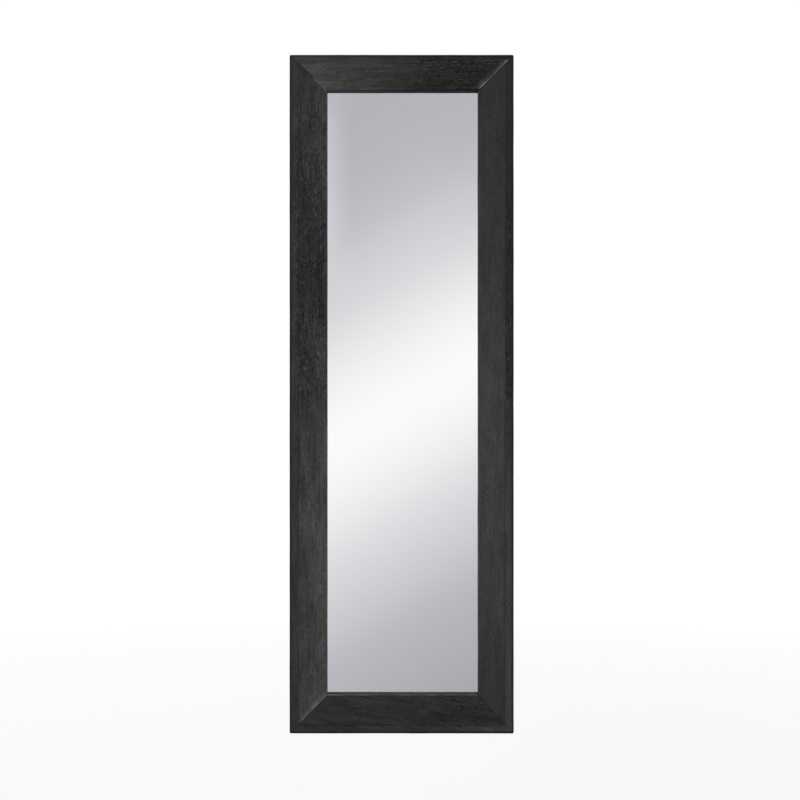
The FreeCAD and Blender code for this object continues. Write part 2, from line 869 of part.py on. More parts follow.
def carrier():
    """Two capped tubes bolted across the drawer members, and the bumpers for the trailing edge."""
    for name, left, width, bolt_x in (
        ("leading_tube", leading_tube_left, dim.leading_tube_width, leading_bolt_x),
        ("trailing_tube", trailing_tube_left, dim.trailing_tube_width, trailing_bolt_x),
    ):
        tube(name, left, width, bolt_x)
        place(tube_cap(f"{name}_top_cap", width), left, tube_back, tube_top)
        bottom = tube_cap(f"{name}_bottom_cap", width)
        place(bottom, left + width, tube_back, -tube_top, about_y(180))
    columns = (leading_bolt_x, trailing_bolt_x)
    levels = (-slide_height_above_origin, slide_height_above_origin)
    group("carrier_bolts", bolt(), [(x, tube_front, z) for x in columns for z in levels])
    group("carrier_nuts", nut(), [(x, drawer_web_back, z) for x in columns for z in levels])
    heights = (tube_top - dim.bumper_inset, dim.bumper_inner_height)
    spots = [(catch_x, tube_front, side * height) for height in heights for side in (-1, 1)]
    group("mirror_bumpers", bumper(), spots)


# Magnetic catches


def catch_housing(name):
    """A plastic housing, from its seat on the tube at Y = 0 towards -Y, centred on X and Z."""
    body = new_body(name)
    sketch = new_sketch(body, "XZ")
    half_width, half_length = dim.catch_width / 2, dim.catch_length / 2
    draw_box(sketch, -half_width, -half_length, half_width, half_length)
    pad(sketch, catch_height)
    corners = box_corners(-half_width, -half_length, half_width, half_length)
    dress(body, "Fillet", dim.catch_corner_radius, along("Y", *corners))
    window = new_sketch(body, "XZ")
    across = dim.magnet_width / 2 + dim.magnet_slack
    up = dim.magnet_length / 2 + dim.magnet_slack
    draw_box(window, -across, -up, across, up)
    pocket(window)
    return node(name, body)


def catch_magnet(name):
    """A block magnet between two pole plates that stand proud of the housing."""
    body = new_body(name)
    sketch = new_sketch(body, "XZ")
    half_length = dim.magnet_length / 2
    outer, inner = dim.magnet_width / 2, dim.magnet_width / 2 - dim.pole_thickness
    draw_box(sketch, -outer, -half_length, outer, half_length)
    pad(sketch, catch_height)
    poles = new_sketch(body, "XZ")
    draw_box(poles, inner, -half_length, outer, half_length)
    draw_box(poles, -outer, -half_length, -inner, half_length)
    pad(poles, catch_height + dim.pole_proud)
    return node(name, body)


def strike_plate(name):
    """A steel plate against the wood frame's back, from Y = 0 towards +Y."""
    body = new_body(name)
    sketch = new_sketch(body, "XZ")
    half_width, half_length = dim.catch_width / 2, dim.strike_length / 2
    draw_box(sketch, -half_width, -half_length, half_width, half_length)
    pad(sketch, dim.strike_thickness, reverse=True)
    corners = box_corners(-half_width, -half_length, half_width, half_length)
    dress(body, "Fillet", dim.catch_corner_radius, along("Y", *corners))
    return node(name, body)


def catches():
    """A catch on the trailing tube and its strike plate on the frame, above and below the middle."""
    for name, side in (("lower", -1), ("upper", 1)):
        height = side * dim.catch_spacing / 2
        place(catch_housing(f"{name}_catch_housing"), catch_x, tube_front, height)
        place(catch_magnet(f"{name}_catch_magnet"), catch_x, tube_front, height)
        place(strike_plate(f"{name}_strike_plate"), catch_x, frame_back, height)


# Butt hinges


def hinge_leaf(name, side, open_segments):
    """
    A leaf with its rolled knuckles, about a pin on the Z axis. side is 1 for the leaf behind the pin and
    -1 for the one in front of it, and open_segments are the knuckles that belong to the other leaf.
    """
    body = new_body(name)
    plate = new_sketch(body, "XY")
    draw_box(plate, -dim.leaf_width, side * dim.pin_radius, 0, side * knuckle_radius)
    pad(plate, dim.leaf_height)
    roll = new_sketch(body, "XY")
    draw_circle(roll, 0, 0, knuckle_radius)
    pad(roll, dim.leaf_height)
    bore = new_sketch(body, "XY")
    draw_circle(bore, 0, 0, dim.pin_radius + dim.pin_clearance)
    pocket(bore)
    segment = dim.leaf_height / KNUCKLES
    reach = knuckle_radius + 2 * dim.knuckle_gap
    gaps = new_sketch(body, "XZ")
    for i in open_segments:
        low = i * segment - dim.knuckle_gap / 2
        high = (i + 1) * segment + dim.knuckle_gap / 2
        draw_box(gaps, -reach, low, reach, high)
    pocket(gaps)
    # Two screw holes near the ends and one between them, nearer to the knuckles.
    holes = new_sketch(body, "XZ")
    column = dim.leaf_hole_edge - dim.leaf_width
    for height in (dim.leaf_hole_end, dim.leaf_height - dim.leaf_hole_end):
        draw_circle(holes, column, height, dim.leaf_hole_radius)
    draw_circle(holes, column + dim.leaf_hole_stagger, dim.leaf_height / 2, dim.leaf_hole_radius)
    pocket(holes)
    return node(name, body)


def hinge_pin(name):
    """A pin with a button head at each end of the knuckles."""
    body = new_body(name)
    sketch = new_sketch(body, "XZ")
    head, top = dim.pin_head_height, dim.leaf_height
    rim, shank = dim.pin_head_radius, dim.pin_radius
    lower_head = [(0, -head), (rim * 0.6, -head), (rim, 0), (shank, 0)]
    upper_head = [(shank, top), (rim, top), (rim * 0.6, top + head), (0, top + head)]
    draw_polygon(sketch, lower_head + upper_head)
    revolve(sketch)
    return node(name, body)


def hinges():
    """Three butt hinges between the leading tube and the back of the right stile."""
    even = [i for i in range(KNUCKLES) if i % 2 == 0]
    odd = [i for i in range(KNUCKLES) if i % 2 == 1]
    for name, height in (("lower", -hinge_height), ("middle", 0), ("upper", hinge_height)):
        foot = height - dim.leaf_height / 2
        place(hinge_leaf(f"{name}_hinge_mirror_leaf", -1, even), pin_x, pin_y, foot)
        place(hinge_leaf(f"{name}_hinge_tube_leaf", 1, odd), pin_x, pin_y, foot)
        place(hinge_pin(f"{name}_hinge_pin"), pin_x, pin_y, foot)


def check_document():
    """Stops if any object failed, or if a sub-part has no sound solid."""
    doc.recompute()
    for thing in doc.Objects:
        if "Invalid" in thing.State or "Error" in thing.State:
            raise RuntimeError(f"{thing.Name} failed: {thing.State}")
    for name, thing in nodes.items():
        shape = thing.Shape
        if shape.isNull() or not shape.isValid() or not shape.Solids:
            raise RuntimeError(f"{name} has no sound solid")


def write_parts():
    os.makedirs("parts", exist_ok=True)
    for name, thing in nodes.items():
        solids = thing.Shape.Solids
        shape = solids[0] if len(solids) == 1 else Part.makeCompound(solids)
        shape.exportStep(os.path.join("parts", f"{name}.step"))
        print(f"{name}: {len(solids)} solids, {shape.Volume / 1000:.2f} cm3")


wood_frame()
glazing()
slides()
carrier()
catches()
hinges()
check_document()
write_parts()
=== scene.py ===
"""Looks of a pull-out wardrobe mirror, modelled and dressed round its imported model.

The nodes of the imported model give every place. The sizes of a piece's own details are fields of its class, in
metres, written as millimetres times MM. What is drawn on the wood is placed in millimetres.
"""

import logging
import math
from collections.abc import Callable, Sequence
from dataclasses import dataclass, replace
from enum import Enum
from typing import Any

import bmesh
import bpy
from mathutils import Matrix, Vector


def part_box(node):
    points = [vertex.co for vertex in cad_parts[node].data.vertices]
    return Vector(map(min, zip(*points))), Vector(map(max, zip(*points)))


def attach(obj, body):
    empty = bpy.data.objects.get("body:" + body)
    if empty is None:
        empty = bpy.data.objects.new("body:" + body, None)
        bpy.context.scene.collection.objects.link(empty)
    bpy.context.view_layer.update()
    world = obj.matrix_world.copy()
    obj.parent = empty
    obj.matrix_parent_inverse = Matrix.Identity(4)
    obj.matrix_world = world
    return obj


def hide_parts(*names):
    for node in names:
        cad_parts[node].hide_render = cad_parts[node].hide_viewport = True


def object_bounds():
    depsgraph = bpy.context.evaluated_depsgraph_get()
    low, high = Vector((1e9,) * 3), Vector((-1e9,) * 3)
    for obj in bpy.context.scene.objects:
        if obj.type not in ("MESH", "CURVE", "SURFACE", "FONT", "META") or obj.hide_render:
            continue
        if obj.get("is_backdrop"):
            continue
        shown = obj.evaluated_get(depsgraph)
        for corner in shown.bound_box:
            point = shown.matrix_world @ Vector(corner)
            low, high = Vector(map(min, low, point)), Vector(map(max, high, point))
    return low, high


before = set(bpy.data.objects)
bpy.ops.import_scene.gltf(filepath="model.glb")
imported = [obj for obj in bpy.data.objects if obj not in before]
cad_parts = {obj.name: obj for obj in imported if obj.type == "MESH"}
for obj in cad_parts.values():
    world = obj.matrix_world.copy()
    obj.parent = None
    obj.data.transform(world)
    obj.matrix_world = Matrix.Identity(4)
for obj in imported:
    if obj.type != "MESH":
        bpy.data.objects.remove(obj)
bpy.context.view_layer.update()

MM = 0.001
X_AXIS, Y_AXIS, Z_AXIS = Vector((1, 0, 0)), Vector((0, 1, 0)), Vector((0, 0, 1))
NEAR = 0.01 * MM  # how far from a plane a vertex still counts as in it
DOUBLED = 0.002 * MM  # how close two vertices are merged
LOG = logging.getLogger("wardrobe_mirror")

Test = Callable[[Any], bool]
Node = bpy.types.Node
Span = tuple[float, float]
Profile = Sequence[Span]


# Modelling


class Element(Enum):
    """What a selection is made of."""

    VERTEX = "VERT"
    EDGE = "EDGE"
    FACE = "FACE"


def every(_: Any) -> bool:
    """Passes everything, for an operator that acts on the whole mesh."""
    return True


def middle(element: Any) -> Vector:
    """The middle of an edge or face of a mesh in edit mode."""
    return sum((vertex.co for vertex in element.verts), Vector()) / len(element.verts)


def faces_towards(way: Vector) -> Test:
    """Returns a test for faces whose normal points that way."""
    return lambda face: face.normal.dot(way) > 0.99


def runs_along(way: Vector) -> Test:
    """Returns a test for edges that run that way.

    Args:
        way: The way, of length 1.

    Returns:
        The test.
    """

    def test(edge: Any) -> bool:
        """Compares the edge's direction with the way."""
        line = edge.verts[1].co - edge.verts[0].co
        return line.length > 0 and abs(line.normalized().dot(way)) > 0.999

    return test


def rim_of(way: Vector, level: float) -> Test:
    """Returns a test for edges that lie in the plane at a level along the way."""
    return lambda edge: all(abs(v.co.dot(way) - level) < NEAR for v in edge.verts)


def activate(obj: bpy.types.Object) -> None:
    """Selects one object alone and makes it the active one.

    Args:
        obj: The object.
    """
    bpy.ops.object.select_all(action="DESELECT")
    obj.select_set(True)
    bpy.context.view_layer.objects.active = obj


class Shaper:
    """One mesh that is shaped by operators on what is selected by its place or normal."""

    def __init__(self, name: str) -> None:
        """Takes over the active object and moves its place into its mesh.

        Args:
            name: Its new name.
        """
        self.obj = bpy.context.view_layer.objects.active
        self.obj.name = name
        self.obj.data.name = name
        activate(self.obj)
        bpy.ops.object.transform_apply(location=True, rotation=True, scale=True)

    @classmethod
    def box(cls, name: str, low: Vector, high: Vector) -> "Shaper":
        """Adds a box between its lowest and highest corners.

        Args:
            name: The name of the new object.
            low: The lowest corner.
            high: The highest corner.

        Returns:
            The shaper of the box.
        """
        bpy.ops.object.select_all(action="DESELECT")
        bpy.ops.mesh.primitive_cube_add(size=1, location=(low + high) / 2, scale=high - low)
        return cls(name)

    @classmethod
    def rod(cls, name: str, start: Vector, end: Vector, radius: float, sides: int = 24) -> "Shaper":
        """Adds a prism of many sides from start to end.

        Args:
            name: The name of the new object.
            start: The middle of one end.
            end: The middle of the other.
            radius: The distance of its edges from its axis.
            sides: The number of its sides.

        Returns:
            The shaper of the rod.
        """
        way = end - start
        turn = way.to_track_quat("Z", "Y").to_euler()
        bpy.ops.object.select_all(action="DESELECT")
        bpy.ops.mesh.primitive_cylinder_add(
            vertices=sides, radius=radius, depth=way.length, location=(start + end) / 2, rotation=turn
        )
        return cls(name)

    @classmethod
    def path(cls, name: str, points: Sequence[Vector], closed: bool = False) -> "Shaper":
        """Draws a line vertex by vertex.

        Args:
            name: The name of the new object.
            points: The places that the line goes through.
            closed: Whether the line is closed and filled with a face.

        Returns:
            The shaper of the line.
        """
        bpy.ops.object.select_all(action="DESELECT")
        bpy.ops.mesh.primitive_plane_add(size=MM, location=points[0])
        shape = cls(name)
        bpy.ops.object.mode_set(mode="EDIT")
        bpy.ops.mesh.select_mode(type="VERT")
        bpy.ops.mesh.select_all(action="SELECT")
        bpy.ops.mesh.merge(type="CENTER")
        for start, end in zip(points, points[1:]):
            bpy.ops.mesh.extrude_vertices_move(TRANSFORM_OT_translate={"value": end - start})
        if closed:
            bpy.ops.mesh.select_all(action="SELECT")
            bpy.ops.mesh.edge_face_add()
        bpy.ops.object.mode_set(mode="OBJECT")
        return shape

    @classmethod
    def turned(cls, name: str, profile: Profile, axis: Vector, steps: int = 24) -> "Shaper":
        """Spins a profile round an axis through the origin.

        Args:
            name: The name of the new object.
            profile: Each point's radius and its height along the axis.
            axis: The axis, of length 1.
            steps: The number of steps in the turn.

        Returns:
            The shaper of the turned piece.
        """
        side = Z_AXIS if abs(axis.z) < 0.5 else X_AXIS
        shape = cls.path(name, [side * radius + axis * height for radius, height in profile])
        shape.edit(
            Element.EDGE, every, bpy.ops.mesh.spin, steps=steps, angle=math.tau, center=(0, 0, 0), axis=axis
        )
        return shape.close()

    def edit(self, element: Element, test: Test, operator: Callable[..., Any], **settings: Any) -> "Shaper":
        """Selects what passes a test and runs one operator on it.

        Args:
            element: Whether vertices, edges or faces are tested.
            test: Says whether an element is selected.
            operator: The operator to run.
            settings: The operator's settings.

        Returns:
            This shaper.
        """
        activate(self.obj)
        bpy.ops.object.mode_set(mode="EDIT")
        bpy.ops.mesh.select_mode(type=element.value)
        bpy.ops.mesh.select_all(action="DESELECT")
        mesh = bmesh.from_edit_mesh(self.obj.data)
        kinds = {Element.VERTEX: mesh.verts, Element.EDGE: mesh.edges, Element.FACE: mesh.faces}
        for item in kinds[element]:
            if test(item):
                item.select_set(True)
        mesh.select_flush_mode()
        bmesh.update_edit_mesh(self.obj.data)
        operator(**settings)
        bpy.ops.object.mode_set(mode="OBJECT")
        return self

    def extrude(self, element: Element, test: Test, move: Vector) -> "Shaper":
        """Pulls what passes the test out by a move."""
        pull = bpy.ops.mesh.extrude_region_move
        return self.edit(element, test, pull, TRANSFORM_OT_translate={"value": move})

    def bevel(self, test: Test, offset: float, segments: int = 3) -> "Shaper":
        """Rounds the edges that pass the test."""
        return self.edit(Element.EDGE, test, bpy.ops.mesh.bevel, offset=offset, segments=segments)

    def modify(self, kind: str, **settings: Any) -> "Shaper":
        """Adds one modifier with its settings and applies it.

        Args:
            kind: The modifier's type.
            settings: Its settings.

        Returns:
            This shaper.
        """
        activate(self.obj)
        modifier = self.obj.modifiers.new(kind.title(), kind)
        for name, value in settings.items():
            setattr(modifier, name, value)
        bpy.ops.object.modifier_apply(modifier=modifier.name)
        return self

    def soften(self, width: float, angle: float = 40, segments: int = 2) -> "Shaper":
        """Rounds every edge that is sharper than an angle in degrees.

        Args:
            width: The width of the rounding.
            angle: The angle.
            segments: The number of its facets.

        Returns:
            This shaper.
        """
        return self.modify(
            "BEVEL", width=width, segments=segments, limit_method="ANGLE", angle_limit=math.radians(angle)
        )

    def cut(self, *cutters: "Shaper", operation: str = "DIFFERENCE") -> "Shaper":
        """Cuts this mesh with others, which are used up."""
        for cutter in cutters:
            self.modify("BOOLEAN", object=cutter.obj, operation=operation, solver="EXACT")
            cutter.remove()
        return self

    def join(self, *others: "Shaper") -> "Shaper":
        """Makes the others part of this object."""
        activate(self.obj)
        for other in others:
            other.obj.select_set(True)
        bpy.ops.object.join()
        return self

    def close(self) -> "Shaper":
        """Merges doubled vertices and turns every face outwards."""
        self.edit(Element.VERTEX, every, bpy.ops.mesh.remove_doubles, threshold=DOUBLED)
        return self.edit(Element.FACE, every, bpy.ops.mesh.normals_make_consistent, inside=False)

    def moved(self, place: Matrix) -> "Shaper":
        """Moves the mesh by a matrix."""
        self.obj.data.transform(place)
        return self

    def copies(self, name: str, places: Sequence[Matrix]) -> "Shaper":
        """Copies this piece to every place, as one object, and uses it up.

        Args:
            name: The name of the new object.
            places: A matrix for each copy.

        Returns:
            The shaper of all the copies.
        """
        made = []
        for place in places:
            copy = self.obj.copy()
            copy.data = self.obj.data.copy()
            copy.data.transform(place)
            bpy.context.scene.collection.objects.link(copy)
            made.append(copy)
        self.remove()
        bpy.context.view_layer.update()
        activate(made[0])
        for copy in made:
            copy.select_set(True)
        bpy.ops.object.join()
        return Shaper(name)

    def remove(self) -> None:
        """Deletes the object and its mesh."""
        mesh = self.obj.data
        bpy.data.objects.remove(self.obj)
        bpy.data.meshes.remove(mesh)

    def done(self, finish: "Finish", body: str, *replaced: str, angle: float = 35) -> bpy.types.Object:
        """Shades and dresses the finished mesh and hands it to the frame.

        Args:
            finish: The finish of the piece.
            body: The body that it moves with.
            replaced: The nodes that it stands for.
            angle: The angle in degrees under which neighbouring faces are shaded as one.

        Returns:
            The finished object.
        """
        activate(self.obj)
        bpy.ops.object.shade_smooth_by_angle(angle=math.radians(angle))
        self.modify("WEIGHTED_NORMAL", keep_sharp=True, weight=90)
        finish.put_on(self.obj)
        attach(self.obj, body)
        if replaced:
            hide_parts(*replaced)
        LOG.info("%s: %d faces", self.obj.name, len(self.obj.data.polygons))
        return self.obj


def shift(x: float = 0, y: float = 0, z: float = 0) -> Matrix:
    """Returns the matrix of a move."""
    return Matrix.Translation((x, y, z))


def size_of(node: str) -> Vector:
    """The size of a node's box."""
    low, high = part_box(node)
    return high - low


def centre_of(node: str) -> Vector:
    """The middle of a node's box."""
    low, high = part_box(node)
    return (low + high) / 2


def dome(radius: float, base: float, height: float, steps: int, power: float = 1.0) -> list[Span]:
    """The profile of a dome, from its top to its rim.

    Args:
        radius: The radius of its rim.
        base: The height of its rim.
        height: How far its top stands over its rim.
        steps: The number of steps from top to rim.
        power: Less than 1 makes the top flatter.

    Returns:
        Each point's radius and height.
    """
    angles = (math.pi / 2 * i / steps for i in range(steps + 1))
    return [(radius * math.sin(angle), base + height * math.cos(angle) ** power) for angle in angles]


def arc(centre: Vector, start: Vector, end: Vector, steps: int) -> list[Vector]:
    """Points on a quarter turn or less, round a centre.

    Args:
        centre: The centre of the arc.
        start: The way to the first point, as long as the radius.
        end: The way to the last point.
        steps: The number of steps between them.

    Returns:
        The points with both ends.
    """
    whole = start.angle(end)
    points = []
    for i in range(steps + 1):
        share = i / steps
        near, far = math.sin((1 - share) * whole), math.sin(share * whole)
        points.append(centre + (start * near + end * far) / math.sin(whole))
    return points


# Finishes


def linear(hex_colour: str) -> tuple[float, float, float, float]:
    """Turns an sRGB hex colour into the linear colour that shaders take.

    Args:
        hex_colour: The colour, as #rrggbb.

    Returns:
        Red, green, blue and alpha.
    """
    channels = [int(hex_colour[i:i + 2], 16) / 255 for i in (1, 3, 5)]
    red, green, blue = (c / 12.92 if c <= 0.04045 else ((c + 0.055) / 1.055) ** 2.4 for c in channels)
    return red, green, blue, 1.0


class Graph:
    """The nodes of one material or world."""

    def __init__(self, tree: bpy.types.NodeTree) -> None:
        """Empties the tree."""
        self.tree = tree
        tree.nodes.clear()

    def add(self, kind: str, inputs: dict[str | int, Any] | Sequence[Any] = (), **settings: Any) -> Node:
        """Adds a node with its settings and links.

        Args:
            kind: The node's type without its leading ShaderNode.
            inputs: A value, hex colour, socket or node for each input, by name or number, or in order.
            settings: The node's own settings.

        Returns:
            The node.
        """
        node = self.tree.nodes.new(f"ShaderNode{kind}")
        for name, value in settings.items():
            setattr(node, name, value)
        for key, value in inputs.items() if isinstance(inputs, dict) else enumerate(inputs):
            named = [s for s in node.inputs if s.enabled and s.name == key]
            socket = node.inputs[key] if isinstance(key, int) else named[0]
            if isinstance(value, str):
                value = linear(value)
            elif isinstance(value, Node):
                value = next(s for s in value.outputs if s.enabled)
            if isinstance(value, bpy.types.NodeSocket):
                self.tree.links.new(value, socket)
            else:
                socket.default_value = value
        return node

    def place(self, *sizes: float, turn: Sequence[float] = (0, 0, 0)) -> Node:
        """Adds the object's own coordinates, turned, and in units of one size or of a size for each axis."""
        scale = [1 / size for size in (sizes if len(sizes) == 3 else sizes * 3)]
        coordinates = self.add("TexCoord").outputs["Object"]
        return self.add("Mapping", {"Vector": coordinates, "Scale": scale, "Rotation": turn})


@dataclass(frozen=True)
class Finish:
    """A finish with its name and the record's material slot. Each kind of finish has its own shade method."""

    name: str
    slot: str

    def material(self) -> bpy.types.Material:
        """Returns the finish's material, and makes it the first time."""
        found = bpy.data.materials.get(self.name)
        if found:
            return found
        made = bpy.data.materials.new(self.name)
        made.use_nodes = True
        graph = Graph(made.node_tree)
        shader = self.shade(graph)
        graph.add("OutputMaterial", {"Surface": shader})
        return made

    def shade(self, graph: Graph) -> Node:
        """Adds the nodes of the surface.

        Args:
            graph: The graph of the material.

        Returns:
            The shader.
        """
        raise NotImplementedError(self.name)

    def put_on(self, obj: bpy.types.Object) -> None:
        """Makes this the only material of an object."""
        obj.data.materials.clear()
        obj.data.materials.append(self.material())


@dataclass(frozen=True)
class Plate(Finish):
    """Steel sheet or rod with a thin plated or bare metal surface.

    Rolling leaves fine lines along one axis, and plating leaves soft clouds of slightly different gloss.
    """

    colour: str = "#b9bcc0"
    shade_colour: str = "#9fa3a8"
    roughness: float = 0.3
    gloss_spread: Span = (0.7, 1.35)
    gloss_levels: Span = (0.6, 1.4)
    line_spacing: float = 0.9 * MM
    line_length: float = 60 * MM
    line_depth: float = 0.02 * MM
    line_strength: float = 0.25
    along: Vector = X_AXIS
    cloud_size: float = 14 * MM

    def shade(self, graph: Graph) -> Node:
        """Stretches one noise along the rolling and lets another cloud the gloss."""
        sizes = [self.line_length if share else self.line_spacing for share in self.along]
        lines = graph.add("TexNoise", {"Vector": graph.place(*sizes), "Scale": 1.0, "Detail": 3.0})
        clouds = graph.add("TexNoise", {"Vector": graph.place(self.cloud_size), "Scale": 1.0, "Detail": 4.0})
        colour = graph.add(
            "Mix", {"Factor": clouds, "A": self.colour, "B": self.shade_colour}, data_type="RGBA"
        )
        gloss = graph.add("Math", (lines, clouds), operation="ADD")
        near, far = (self.roughness * spread for spread in self.gloss_spread)
        roughness = graph.add("MapRange", (gloss, *self.gloss_levels, near, far))
        bump = graph.add(
            "Bump", {"Height": lines, "Strength": self.line_strength, "Distance": self.line_depth}
        )
        return graph.add(
            "BsdfPrincipled", {"Base Color": colour, "Metallic": 1.0, "Roughness": roughness, "Normal": bump}
        )


@dataclass(frozen=True)
class Moulded(Finish):
    """Moulded plastic or rubber, or a sprayed coat: one colour with a fine grain from its mould or spray.

    The grain is drawn a few times coarser than the real one, so that it shows.
    """

    colour: str = "#1a1a1b"
    worn_colour: str = "#2a2a2b"
    roughness: float = 0.5
    gloss_spread: Span = (0.85, 1.2)
    gloss_levels: Span = (0.3, 0.7)
    grain: float = 0.7 * MM
    relief: float = 0.05 * MM
    relief_strength: float = 0.5
    scuff_size: float = 30 * MM
    scuff_levels: Span = (0.45, 0.75)

    def shade(self, graph: Graph) -> Node:
        """Gives the grain to the relief and scuffs to the colour and gloss."""
        grain = graph.add("TexNoise", {"Vector": graph.place(self.grain), "Scale": 1.0, "Detail": 2.0})
        place = graph.place(self.scuff_size)
        scuffs = graph.add("TexNoise", {"Vector": place, "Scale": 1.0, "Detail": 6.0, "Roughness": 0.7})
        worn = graph.add("MapRange", (scuffs, *self.scuff_levels))
        colour = graph.add(
            "Mix", {"Factor": worn, "A": self.colour, "B": self.worn_colour}, data_type="RGBA"
        )
        near, far = (self.roughness * spread for spread in self.gloss_spread)
        roughness = graph.add("MapRange", (scuffs, *self.gloss_levels, near, far))
        bump = graph.add("Bump", {"Height": grain, "Strength": self.relief_strength, "Distance": self.relief})
        return graph.add("BsdfPrincipled", {"Base Color": colour, "Roughness": roughness, "Normal": bump})


@dataclass(frozen=True)
class Hardboard(Finish):
    """Pressed wood fibre, smooth side out: warm brown with short dark and pale fibres lying every way.

    Each kind of fibre goes from one share to another between two levels of its noise.
    """

    colour: str = "#6b4a2f"
    fibre_colour: str = "#4a2f1c"
    pale_colour: str = "#87654a"
    cloud_size: float = 60 * MM
    fibre_length: float = 5 * MM
    fibre_width: float = 0.8 * MM
    fibre_turns: Span = (0.6, -0.9)
    dark_fibres: tuple[float, ...] = (0.56, 0.7, 0.0, 0.7)
    pale_fibres: tuple[float, ...] = (0.6, 0.72, 0.0, 0.6)
    roughness: float = 0.5
    relief: float = 0.05 * MM
    relief_strength: float = 0.3

    def shade(self, graph: Graph) -> Node:
        """Lays two fibre patterns across each other over a cloudy ground."""
        size = (self.fibre_width, self.fibre_width, self.fibre_length)
        ground = graph.add("TexNoise", {"Vector": graph.place(self.cloud_size), "Scale": 1.0, "Detail": 5.0})
        places = [graph.place(*size, turn=(0, turn, 0)) for turn in self.fibre_turns]
        dark, pale = (
            graph.add("TexNoise", {"Vector": place, "Scale": 1.0, "Detail": 2.0}) for place in places
        )
        threads = graph.add("MapRange", (dark, *self.dark_fibres))
        flecks = graph.add("MapRange", (pale, *self.pale_fibres))
        base: Any = self.colour
        fibres, pales = self.fibre_colour, self.pale_colour
        for share, colour in ((ground, fibres), (threads, fibres), (flecks, pales)):
            base = graph.add("Mix", {"Factor": share, "A": base, "B": colour}, data_type="RGBA")
        bump = graph.add("Bump", {"Height": dark, "Strength": self.relief_strength, "Distance": self.relief})
        return graph.add("BsdfPrincipled", {"Base Color": base, "Roughness": self.roughness, "Normal": bump})


@dataclass(frozen=True)
class Plywood(Finish):
    """Birch plywood: pale layers with darker glue lines between them."""

    colour: str = "#c9a878"
    line_colour: str = "#8d6a44"
    layer: float = 1.3 * MM
    unevenness: float = 0.6
    line_levels: Span = (0.8, 1.0)
    roughness: float = 0.7

    def shade(self, graph: Graph) -> Node:
        """Repeats a dark line through the thickness."""
        layers = graph.add(
            "TexWave",
            {"Vector": graph.place(self.layer), "Scale": 2 / math.tau, "Distortion": self.unevenness},
            bands_direction="Y",
        )
        lines = graph.add("MapRange", (layers, *self.line_levels))
        colour = graph.add(
            "Mix", {"Factor": lines, "A": self.colour, "B": self.line_colour}, data_type="RGBA"
        )
        return graph.add("BsdfPrincipled", {"Base Color": colour, "Roughness": self.roughness})


@dataclass(frozen=True)
class Foam(Finish):
    """Closed-cell polyethylene foam: near white, matt, with small cells."""

    colour: str = "#e6e6e2"
    shade_colour: str = "#cfcfca"
    cell: float = 1.2 * MM
    roughness: float = 0.9
    relief: float = 0.1 * MM
    relief_strength: float = 0.4

    def shade(self, graph: Graph) -> Node:
        """Draws the cells in the colour and the relief."""
        cells = graph.add("TexVoronoi", {"Vector": graph.place(self.cell), "Scale": 1.0})
        colour = graph.add(
            "Mix", {"Factor": cells, "A": self.shade_colour, "B": self.colour}, data_type="RGBA"
        )
        bump = graph.add("Bump", {"Height": cells, "Strength": self.relief_strength, "Distance": self.relief})
        return graph.add(
            "BsdfPrincipled", {"Base Color": colour, "Roughness": self.roughness, "Normal": bump}
        )


@dataclass(frozen=True)
class SilveredGlass(Finish):
    """Float glass silvered on its back: a clean, slightly cool mirror with the faintest roller wave."""

    colour: str = "#f9fafc"
    wave: float = 260 * MM
    wave_height: float = 0.002 * MM

    def shade(self, graph: Graph) -> Node:
        """Bends the reflection a little, as float glass does."""
        waves = graph.add("TexNoise", {"Vector": graph.place(self.wave), "Scale": 1.0, "Detail": 0.0})
        bump = graph.add("Bump", {"Height": waves, "Strength": 1.0, "Distance": self.wave_height})
        return graph.add(
            "BsdfPrincipled", {"Base Color": self.colour, "Metallic": 1.0, "Roughness": 0.0, "Normal": bump}
        )


# The wood. What is drawn on a board is placed in millimetres.


@dataclass(frozen=True)
class Board:
    """Where a member of the wood frame lies."""

    origin: Vector
    across: Vector
    along: Vector
    width: float
    length: float
    start: float
    end: float
    sight: float

    def at(self, across: float, depth: float, along: float) -> Vector:
        """The place that far in from the outer front corner, behind the face and along the member."""
        return self.origin + self.across * across + Y_AXIS * depth + self.along * along

    def local(self, place: Vector) -> tuple[float, float, float]:
        """How far in, how deep and how far along a place is."""
        way = place - self.origin
        return way.dot(self.across), way.y, way.dot(self.along)


@dataclass(frozen=True)
class Patch:
    """A stretch of a board: from start to end along it, and from near to far in from its outer edge."""

    start: float
    end: float
    near: float
    far: float
    strength: float = 1.0


@dataclass(frozen=True)
class Knot:
    """A small knot with rings round it."""

    along: float
    across: float
    radius: float


@dataclass(frozen=True)
class Mitre:
    """How a mitre is rubbed through, on its arris and on the face beside it as far as its reach, and how dark
    its gap is.

    Wear and gap each show between two distances in from the outer edge.
    """

    arris: float = 0.0
    face: float = 0.0
    reach: float = 9
    worn: Span = (16, 80)
    dark: float = 0.0
    darkened: Span = (-10, 80)


@dataclass(frozen=True)
class Figure:
    """A noise in the wood, with the length of its spots along the grain and their width across it.

    Its draw sets it apart from the others. It follows the lean of the grain, or else the board's edges. As a
    pattern it goes from one tone to another between two of its levels. As a change of tone it is stronger by
    an amount where the grain is open.
    """

    length: float
    width: float
    draw: int
    detail: float = 2.0
    roughness: float = 0.5
    distortion: float = 0.0
    levels: Span = (0.0, 1.0)
    tones: Span = (0.0, 1.0)
    where_open: float = 0.0
    leans: bool = True


